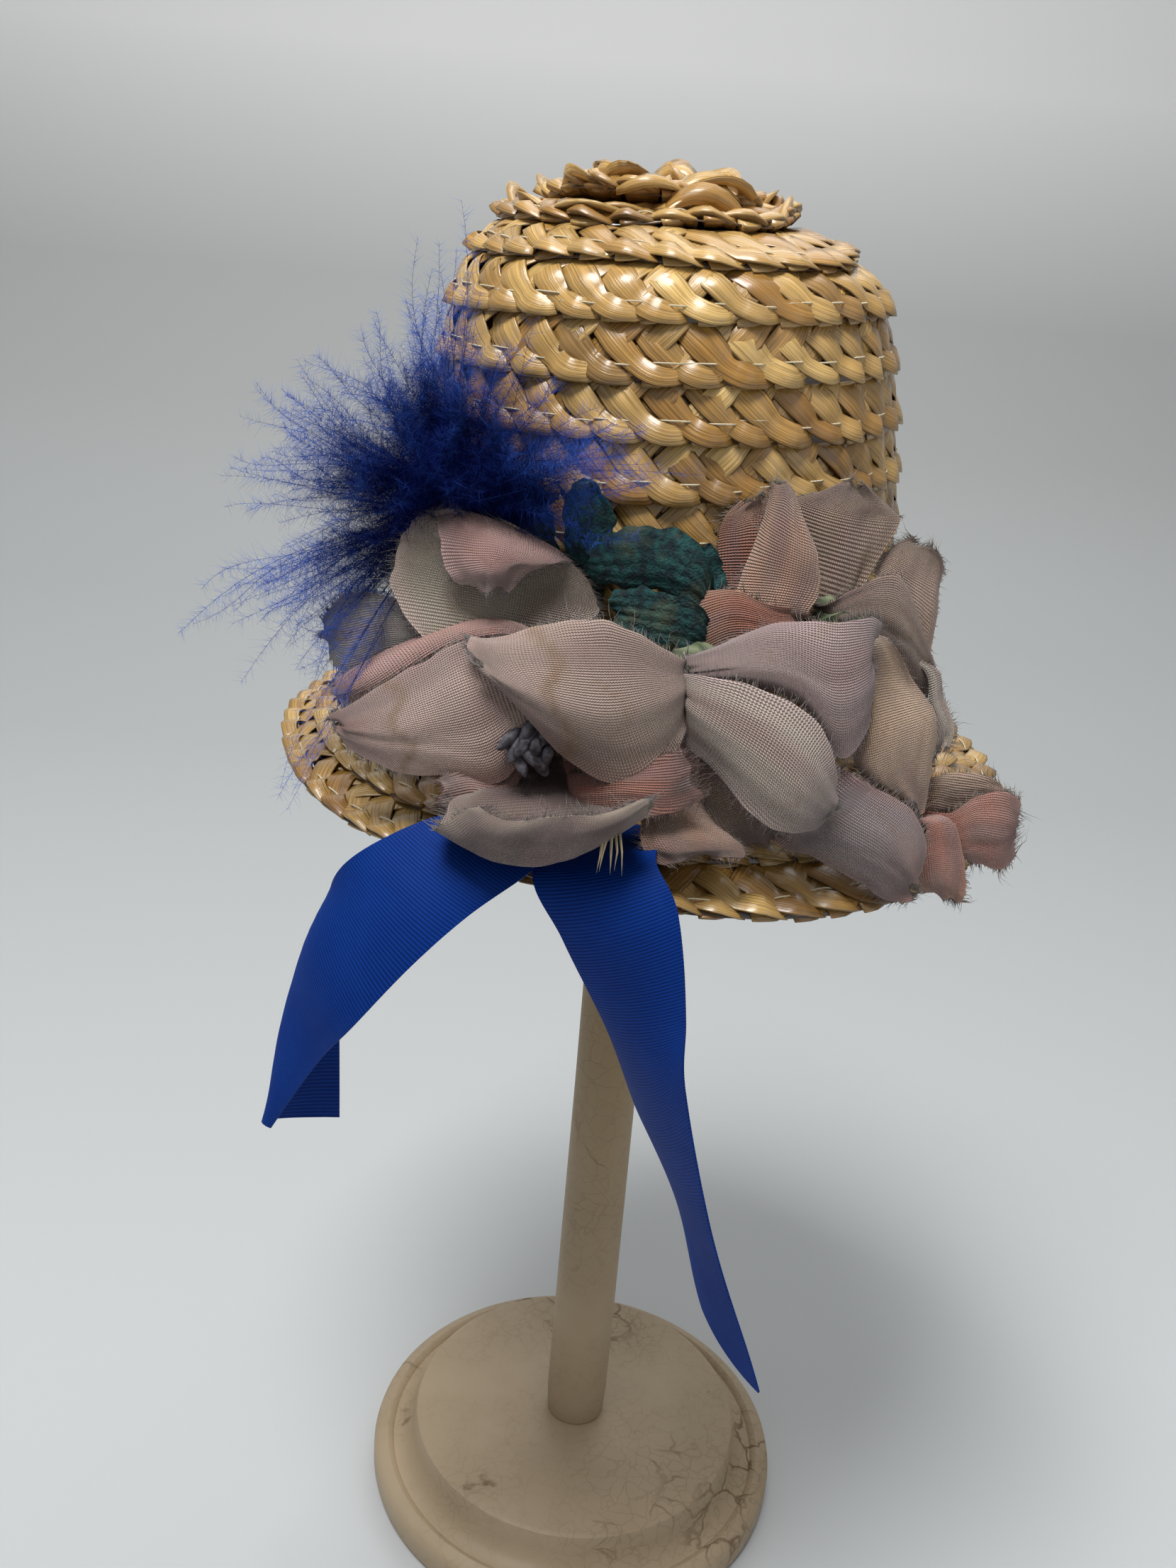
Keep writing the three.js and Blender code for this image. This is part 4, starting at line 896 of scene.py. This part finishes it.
    ("petal_brim_lower", "coral", "clay", [
        ((40, -47, 208), (42, -46, 208), (44, -45, 208)),
        ((49, -58, 214), (51, -58, 215), (55, -54, 214)),
        ((49, -60, 209), (53, -60, 210), (58, -56, 208)),
        ((50, -60, 203), (54, -61, 204), (59, -57, 202)),
        ((54, -59, 201), (56, -59, 200), (59, -58, 199))]),
    ("leaf_lower", "leaf", "leaf", [
        ((9, -56, 242), (9, -56, 240), (9, -56, 238)),
        ((6, -60, 251), (6, -61, 247), (6, -61, 243)),
        ((-3, -58, 252), (-2, -60, 248), (-2, -61, 244)),
        ((-10, -57, 251), (-9, -58, 248), (-9, -59, 245))]),
    ("leaf_middle", "leaf", "leaf", [
        ((9, -50, 245), (9, -50, 243), (9, -50, 241)),
        ((6, -55, 258), (6, -57, 254), (6, -57, 250)),
        ((-2, -53, 262), (-2, -56, 257), (-1, -56, 251)),
        ((-9, -52, 261), (-9, -55, 256), (-9, -55, 251)),
        ((-14, -53, 257), (-14, -54, 255), (-14, -54, 253))]),
    ("leaf_right", "leaf", "leaf", [
        ((6, -46, 243), (8, -46, 243), (10, -46, 243)),
        ((4, -52, 249), (8, -53, 249), (11, -52, 249)),
        ((2, -51, 255), (6, -51, 255), (10, -50, 254)),
        ((5, -50, 259), (6, -50, 259), (8, -50, 259))]),
    ("leaf_upper", "leaf", "leaf", [
        ((-16, -45, 238), (-14, -45, 238), (-12, -45, 238)),
        ((-17, -50, 251), (-13, -51, 253), (-9, -50, 253)),
        ((-18, -49, 260), (-14, -50, 261), (-9, -49, 260)),
        ((-17, -48, 266), (-14, -49, 266), (-12, -49, 266)),
        ((-15, -48, 268), (-14, -49, 268), (-14, -49, 268))]),
    ("leaf_left", "leaf", "leaf", [
        ((-19, -45, 237), (-17, -45, 238), (-15, -45, 239)),
        ((-25, -47, 251), (-21, -48, 252), (-18, -48, 253)),
        ((-30, -46, 258), (-25, -47, 259), (-20, -47, 259)),
        ((-29, -46, 264), (-25, -47, 264), (-21, -47, 264)),
        ((-27, -46, 267), (-25, -46, 267), (-24, -46, 267))]),
]
petalSet = {
    "uSteps": 36, "vSteps": 26, "wall": 0.25, "fold": 0.24, "leafFold": 0.16, "ragged": 0.02,
    "leafRagged": 0.09, "curl": 0.55, "weaveTurn": 0.7, "frayPerMm": 4.5, "fray": 1.3,
    "frayRadius": 0.065, "rootBroad": 2.2, "warm": (1.22, 1.12, 1.05), "rimFrom": {"petal_cup": 0.86},
    "waterline": {"petal_centre": 0.68, "petal_left_front": 0.62},
    "patchShade": (0.83, 0.36), "roseShare": 0.42, "stain": 0.3, "waterStain": 0.6, "paleEdge": 0.26,
    "leafCrush": 0.24, "frayPaleAndLit": (1.9, 0.85),
}
frayPaths, frayDyes = [], []


def petalShape(nodeName, tint, edgeTint, rows):
    isLeaf = tint == "leaf"
    root = [np.array(place, dtype=float) for place in rows[0]]
    widened = 0.85 * math.dist(rows[1][0], rows[1][2]) / max(math.dist(rows[0][0], rows[0][2]), 0.1)
    widened = 1 if isLeaf else min(max(widened, 1), petalSet["rootBroad"])
    place, normal = sheetThrough([[root[1] + (edge - root[1]) * widened for edge in root], *rows[1:]])
    phase = draws.uniform(0, 6.28, 14)
    spine = place(np.linspace(0, 1, 40), np.zeros(40))
    length = float(np.linalg.norm(np.diff(spine, axis=0), axis=1).sum())
    broad = max(math.dist(row[0], row[2]) for row in rows)
    fold = (petalSet["leafFold"] if isLeaf else petalSet["fold"]) * min(1.2, broad / 14)
    ragged = petalSet["leafRagged"] if isLeaf else petalSet["ragged"]
    facing = normal(np.full(1, 0.5), np.zeros(1))[0]
    front = 1 if np.dot(facing, (0, -0.93, 0.37)) > 0 else -1

    def shape(u, v):
        wobble = np.sin(9 * u + phase[0]) + 0.7 * np.sin(23 * u + phase[1]) + 0.5 * np.sin(47 * u + phase[8])
        vNow = v * (1 + ragged * wobble * smoothStep(0.55, 1, np.abs(v)))
        uNow = u * (1 - 0.03 * (1 + np.sin(5 * v + phase[2])) * smoothStep(0.6, 1, u))
        pleats = np.sin(5 * v + 1.5 * u + phase[3]) * (1.2 - u) + 0.5 * np.sin(13 * v - 3 * u + phase[4])
        waves = np.sin(6 * u + 2 * v + phase[5]) + 0.5 * np.sin(17 * u - 5 * v + phase[6])
        crease = np.abs(np.sin(2.3 * v + 1.6 * u + phase[12]))
        ridges = 0.5 * pleats + 0.5 * waves - 0.8 * smoothStep(0.22, 0.0, crease)
        out = fold * ridges * smoothStep(0, 0.15, u)
        if isLeaf:
            crush = petalSet["leafCrush"] * np.sin(11 * u + 7 * v + phase[12])
            out = out + crush * np.sin(9 * v - 8 * u + phase[13])
        curl = petalSet["curl"] * np.sin(5 * u + phase[9]) * smoothStep(0.75, 1, np.abs(v))
        curl = curl + petalSet["curl"] * np.sin(4 * v + phase[10]) * smoothStep(0.85, 1, u)
        points = place(uNow, vNow) + normal(uNow, np.clip(vNow, -1, 1)) * (front * (out + curl))[:, None]
        base, rim = np.array(petalTints[tint]), np.array(petalTints[edgeTint])
        patch = 0.5 + 0.25 * np.sin(4 * u + 2.5 * v + phase[7]) + 0.25 * np.sin(6 * v - 4 * u + phase[11])
        rimFrom = petalSet["rimFrom"].get(nodeName, 0.5)
        rimShare = np.maximum(smoothStep(rimFrom, 1.0, u) * 0.9, smoothStep(0.65, 1.0, np.abs(v)) * 0.5)
        dyes = base + (rim - base) * np.clip(rimShare * (0.45 + 0.8 * patch), 0, 1)[:, None]
        dyes = dyes * (petalSet["patchShade"][0] + petalSet["patchShade"][1] * patch)[:, None]
        if not isLeaf:
            dyes = dyes * np.array(petalSet["warm"])
            rose = np.array(petalTints["rose"])
            rosy = petalSet["roseShare"] * smoothStep(0.45, 0.85, 1 - patch)
            dyes = dyes + (rose - dyes) * rosy[:, None]
            stainAt = np.abs(u - 0.55 - 0.12 * np.sin(4 * v + phase[1]))
            stain = smoothStep(0.03, 0.0, stainAt) * petalSet["stain"] * smoothStep(0.35, 0.75, patch)
            if nodeName in petalSet["waterline"]:
                drift = np.abs(u - petalSet["waterline"][nodeName] - 0.03 * np.sin(6 * v + phase[3]))
                stain = stain + smoothStep(0.035, 0.0, drift) * petalSet["waterStain"]
            dyes = dyes + (np.array(petalTints["ochre"]) - dyes) * stain[:, None]
        paleEdge = smoothStep(0.93, 0.99, np.maximum(u, np.abs(v))) * (0 if isLeaf else petalSet["paleEdge"])
        # painted shade: darker towards the root, where the petals crowd into the heart
        dyes = dyes * (0.8 + 0.2 * smoothStep(0, 0.2, u) + paleEdge)[:, None]
        flatU, flatV = u * length, v * broad / 2
        cosine, sine = math.cos(petalSet["weaveTurn"]), math.sin(petalSet["weaveTurn"])
        return points, np.c_[flatU * cosine - flatV * sine, flatU * sine + flatV * cosine], dyes

    return shape, 2 * length + broad


# Loose threads along a petal's edge
def addFray(shape, around):
    count = int(around * petalSet["frayPerMm"])
    atTip = draws.uniform(0, 1, count) < 0.3
    sideways = draws.uniform(-1, 1, count)
    u = np.where(atTip, 1.0, draws.uniform(0.1, 1.0, count))
    v = np.where(atTip, sideways, np.sign(sideways))
    edge, _, dyes = shape(u, v)
    inner, _, _ = shape(u - np.where(atTip, 0.06, 0.0), v * np.where(atTip, 1, 0.9))
    away = unit(unit(edge - inner) + draws.normal(0, 0.15, (count, 3)))
    sweep = unit(away + draws.normal(0, 0.35, (count, 3)))
    long = draws.gamma(2.0, petalSet["fray"] / 2, count)[:, None]
    curl = draws.normal(0, 0.2, (count, 3)) * long
    frayPaths.append(np.stack([edge - away * 0.3, edge + away * long * 0.5,
                               edge + away * long * 0.5 + sweep * long * 0.5 + curl], axis=1))
    # the threads take their petal's colour made paler: partly the fringe's own paleness, partly painted light
    # that keeps the thin threads bright in shade
    frayDyes.append(np.minimum(dyes * petalSet["frayPaleAndLit"][0], petalSet["frayPaleAndLit"][1]))


for nodeName, tint, edgeTint, rows in petalTable:
    words = nodeName.split("_")
    pieceName = words[0] + "".join(word.title() for word in words[1:])
    shape, around = petalShape(nodeName, tint, edgeTint, rows)
    isLeaf = tint == "leaf"
    petal = bentGrid(pieceName, petalSet["uSteps"], petalSet["vSteps"], shape, petalSet["wall"],
                     velvet if isLeaf else silk)
    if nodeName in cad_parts:
        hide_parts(nodeName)
    if not isLeaf:
        addFray(shape, around)
frayPath = np.concatenate(frayPaths)
frayPoints = spikePoints(frayPath, petalSet["frayRadius"])
frayDye = np.repeat(np.concatenate(frayDyes), 7, axis=0)
pieceFromArrays("frayedThreads", frayPoints, spikeFaces(len(frayPath)), silk,
                np.zeros((len(frayDye), 2)), frayDye)
print("petals laid", len(petalTable))

# Raffia ends that hang out below the cup
raffiaSet = {"from": (-7, -87, 219.5), "to": (-8, -88.5, 213.5), "step": (1.1, 0, 0.2), "count": 5,
             "radius": 0.3, "tone": srgb(214, 196, 152)}
raffiaPaths = []
for index in range(raffiaSet["count"]):
    top = np.array(raffiaSet["from"]) + index * np.array(raffiaSet["step"]) * 0.6
    end = np.array(raffiaSet["to"]) + index * np.array(raffiaSet["step"]) + draws.normal(0, 0.5, 3)
    raffiaPaths.append([top, (top + end) / 2 + draws.normal(0, 0.4, 3), end])
raffiaDyes = np.ones((raffiaSet["count"] * 7, 1)) * np.array(raffiaSet["tone"])
raffiaPoints = spikePoints(np.array(raffiaPaths), raffiaSet["radius"])
pieceFromArrays("raffiaEnds", raffiaPoints, spikeFaces(raffiaSet["count"]), straw,
                np.zeros((len(raffiaDyes), 2)), raffiaDyes)

# Stamens: seed heads on short stalks
stamenSet = {"heart": (-20, -68, 227), "heartRadius": 3.6, "count": 11, "spread": 4.4,
             "seed": (1.1, 1.1, 2.7), "forward": -3.6}
clearSelection()
seeds = []
for index in range(stamenSet["count"]):
    turn = index * 2.4
    away = stamenSet["spread"] * math.sqrt((index + 0.3) / stamenSet["count"])
    shift = Vector((away * math.cos(turn), stamenSet["forward"] + 0.2 * away, 0.8 * away * math.sin(turn)))
    place = Vector(stamenSet["heart"]) + shift
    bpy.ops.mesh.primitive_uv_sphere_add(segments=14, ring_count=12, radius=mm, location=place * mm)
    seed = bpy.context.object
    seed.scale = stamenSet["seed"]
    seed.rotation_euler = (0.5 + 0.3 * math.sin(3 * turn), 0.16 * away * math.cos(turn), turn)
    bpy.ops.object.transform_apply(location=True, rotation=True, scale=True)
    seeds.append(seed)
bpy.ops.mesh.primitive_uv_sphere_add(segments=20, ring_count=12, radius=stamenSet["heartRadius"] * mm,
                                     location=Vector(stamenSet["heart"]) * mm)
seeds.append(bpy.context.object)
bpy.ops.object.transform_apply(location=True, rotation=True, scale=True)
clearSelection()
for seed in seeds:
    seed.select_set(True)
bpy.context.view_layer.objects.active = seeds[0]
bpy.ops.object.join()
stamens = bpy.context.object
stamens.name = "seedHeads"
stamens.data.shade_smooth()
stamens.data.materials.append(seedFinish)
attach(stamens, "root")
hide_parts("stamens")

# Plume: barbs that follow the locks, each with soft barbules.
# A lock is its tip, thickness, bow and number of barbs
plumeSet = {
    "head": (-37, -41, 260), "barbules": 228, "barbRadius": 0.06, "barbuleLong": 6.4, "barbuleRadius": 0.023,
    # core is the blue darkened as painted shade in the crowded middle, fluff the blue paled as painted light
    # on the thin ends
    "core": srgb(0, 2, 62), "fluff": srgb(76, 126, 238), "droop": 4.5, "wobble": 2.3,
    "darkTo": 12, "paleFrom": 38,
    "locks": [
        ((-42, -40, 300), 8, 3, 26), ((-52, -38, 290), 8, 3, 24), ((-31, -46, 292), 8, 3, 26),
        ((-58, -24, 292), 7, 3, 10), ((-72, -38, 276), 7, 4, 16), ((-65, -44, 283), 7, 4, 16),
        ((-76, -34, 262), 7, 4, 16), ((-89, -40, 236), 2, 8, 3), ((-72, -38, 240), 8, 6, 32),
        ((-64, -40, 228), 7, 7, 26), ((-67, -54, 197), 3, 12, 5), ((-70, -18, 268), 7, 4, 12),
        ((-66, -14, 246), 7, 4, 12), ((-48, -52, 280), 9, 2, 30), ((-22, -54, 284), 7, 4, 20),
        ((-8, -58, 282), 6, 5, 22), ((-1, -59, 276), 5, 5, 16), ((-8, -58, 268), 6, 5, 20),
        ((-44, -16, 290), 7, 5, 12), ((-58, -54, 264), 8, 3, 22), ((-30, -56, 272), 8, 3, 34),
        ((-40, -40, 312), 2, 2, 3),
    ],
    "parts": {"plumeUpper": (0, 7), "plumeLower": (7, 14), "plumeRight": (14, 22)},
}


def barbPaths(tip, thick, bow, count):
    head, tip = np.array(plumeSet["head"], dtype=float), np.array(tip, dtype=float)
    middle = (head + tip) / 2
    middle = middle + bow * unit(middle * np.array([1, 1, 0]))
    steps = np.linspace(0, 1, 12)[None, :, None]
    begin = draws.uniform(0.0, 0.35, (count, 1, 1))
    finish = draws.beta(2.2, 1.6, (count, 1, 1)) * 0.6 + 0.45
    share = begin + (finish - begin) * steps
    line = (1 - share) ** 2 * head + 2 * share * (1 - share) * middle + share ** 2 * tip
    offset = unit(draws.normal(0, 1, (count, 1, 3))) * draws.uniform(0.1, 0.9, (count, 1, 1)) * thick
    drift = unit(draws.normal(0, 1, (count, 1, 3))) * draws.uniform(0.4, 1.5, (count, 1, 1)) * thick
    wobble = draws.uniform(0, 6.28, (count, 1, 3)) + steps * draws.uniform(2, 6, (count, 1, 3))
    fall = np.array([0, 0, -1]) * plumeSet["droop"] * draws.uniform(0, 1, (count, 1, 1)) * share ** 2
    path = line + offset * (1 - share * 0.5) + drift * share ** 1.5
    return path + plumeSet["wobble"] * np.sin(wobble) * share + fall


# Straight hairs of three base points and a tip
def hairPoints(begin, end, radius):
    along = unit(end - begin)
    aside = unit(np.cross(along, np.array([0.31, 0.52, 0.79])))
    across = np.cross(along, aside)
    turns = np.arange(3) * 2 * np.pi / 3
    ring = aside[:, None, :] * np.cos(turns)[None, :, None]
    ring = ring + across[:, None, :] * np.sin(turns)[None, :, None]
    return np.concatenate([begin[:, None, :] + ring * radius, end[:, None, :]], axis=1).reshape(-1, 3)


def hairFaces(count, held):
    first = np.arange(count)[:, None] * 4 + held
    faces = [first + np.array(corners)[None, :] for corners in ((0, 1, 3), (1, 2, 3), (2, 0, 3), (2, 1, 0))]
    return np.concatenate(faces).tolist()


barbs = [barbPaths(*lock) for lock in plumeSet["locks"]]
for pieceName, (firstLock, lastLock) in plumeSet["parts"].items():
    paths = np.concatenate(barbs[firstLock:lastLock])
    taper = np.linspace(1, 0.35, paths.shape[1])[None, :] * np.ones((len(paths), 1))
    barbRing = tubePoints(paths, plumeSet["barbRadius"] * taper, 3).reshape(-1, 3)
    core, fluff = np.array(plumeSet["core"]), np.array(plumeSet["fluff"])
    # painted light: each barb pales towards its end
    fade = np.linspace(0, 0.3, paths.shape[1])[None, :]
    shade = np.clip(fade + draws.normal(0, 0.1, (len(paths), 1)), 0, 1)
    barbDye = np.repeat((core + (fluff - core) * shade[:, :, None]).reshape(-1, 3), 3, axis=0)
    each = plumeSet["barbules"]
    spot = draws.beta(1.0, 1.25, (len(paths), each)) * (paths.shape[1] - 1.001)
    cell = spot.astype(int)
    rest = (spot - cell)[:, :, None]
    barbIndex = np.arange(len(paths))[:, None]
    begin = paths[barbIndex, cell] * (1 - rest) + paths[barbIndex, cell + 1] * rest
    along = unit(paths[barbIndex, cell + 1] - paths[barbIndex, cell])
    away = unit(np.cross(along, draws.normal(0, 1, along.shape)))
    thin = 1 - (spot / (paths.shape[1] - 1))[:, :, None]
    long = plumeSet["barbuleLong"] * (0.38 + 0.62 * thin ** 0.7)
    long = long * draws.uniform(0.35, 1.2, (len(paths), each, 1))
    end = begin + unit(away * 0.85 + along * 0.5 + draws.normal(0, 0.22, along.shape)) * long
    hairs = hairPoints(begin.reshape(-1, 3), end.reshape(-1, 3), plumeSet["barbuleRadius"])
    # painted shade and light: the down is darker near the head, where the barbs crowd, and paler further out
    # and at each hair's tip
    far = np.linalg.norm(begin - np.array(plumeSet["head"]), axis=-1)
    far = smoothStep(plumeSet["darkTo"], plumeSet["paleFrom"], far)
    tone = np.clip(0.9 * far + draws.normal(0, 0.1, spot.shape), 0, 1).reshape(-1, 1)
    tone = np.clip(tone[:, None, :] * np.array([1, 1, 1, 1.25])[None, :, None], 0, 1.1).reshape(-1, 1)
    hairDye = core + (fluff - core) * tone
    faces = tubeFaces(len(paths), paths.shape[1], 3) + hairFaces(len(hairs) // 4, len(barbRing))
    points, dyes = np.r_[barbRing, hairs], np.r_[barbDye, hairDye]
    part = pieceFromArrays(pieceName, points, faces, down, None, dyes)
    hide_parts("plume")
print("plume set")

# Flower stems keep their CAD shape under a wound tape
for name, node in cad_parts.items():
    if name.startswith("flower_stem"):
        node.data.materials.clear()
        node.data.materials.append(stemTape)

# Floor with a wide sweep up behind, and soft light
sweepSet = {"size": 6.0, "back": 1.6, "radius": 0.9, "steps": 12, "height": 2.6}
clearSelection()
floorMiddle = sweepSet["back"] - sweepSet["size"] / 2
bpy.ops.mesh.primitive_plane_add(size=sweepSet["size"], location=(0, floorMiddle, 0))
floor = bpy.context.object
floor.name = "floor"
bpy.ops.object.transform_apply(location=True)
bpy.ops.object.mode_set(mode="EDIT")
bpy.ops.mesh.select_all(action="DESELECT")
bpy.ops.object.mode_set(mode="OBJECT")
for edge in floor.data.edges:
    edge.select = all(floor.data.vertices[corner].co.y > sweepSet["back"] - 0.01 for corner in edge.vertices)
bpy.ops.object.mode_set(mode="EDIT")
bpy.ops.mesh.select_mode(type="EDGE")
sweepAngle = math.pi / 2 / sweepSet["steps"]
for step in range(sweepSet["steps"]):
    tilt = (step + 0.5) * sweepAngle
    reach = sweepSet["radius"] * sweepAngle
    bpy.ops.mesh.extrude_region_move(
        TRANSFORM_OT_translate={"value": (0, reach * math.cos(tilt), reach * math.sin(tilt))})
bpy.ops.mesh.extrude_region_move(TRANSFORM_OT_translate={"value": (0, 0, sweepSet["height"])})
bpy.ops.object.mode_set(mode="OBJECT")
floor.data.shade_smooth()
floor.data.materials.append(floorFinish)
lightSet = {
    "key": {"place": (-0.2, -0.3, 1.2), "size": 0.4, "power": 10.6},
    "fill": {"place": (0.9, -0.7, 0.7), "size": 0.9, "power": 1.2},
    "back": {"place": (0.2, 0.7, 1.2), "size": 0.8, "power": 3},
    "wall": {"place": (-0.2, 1.1, 1.9), "size": 1.6, "power": 14.5, "aim": (-0.3, 2.6, 0.8)},
}
for lightName, choice in lightSet.items():
    clearSelection()
    aim = Vector(choice.get("aim", (0, 0, 0.2))) - Vector(choice["place"])
    turn = aim.to_track_quat("-Z", "Y").to_euler()
    bpy.ops.object.light_add(type="AREA", location=choice["place"], rotation=turn)
    bpy.context.object.name = lightName
    bpy.context.object.data.size = choice["size"]
    bpy.context.object.data.energy = choice["power"]
world = bpy.data.worlds.new("softWorld")
bpy.context.scene.world = world
world.use_nodes = True
world.node_tree.nodes["Background"].inputs["Color"].default_value = (0.92, 0.94, 0.97, 1)
world.node_tree.nodes["Background"].inputs["Strength"].default_value = 0.25
print("lights set")
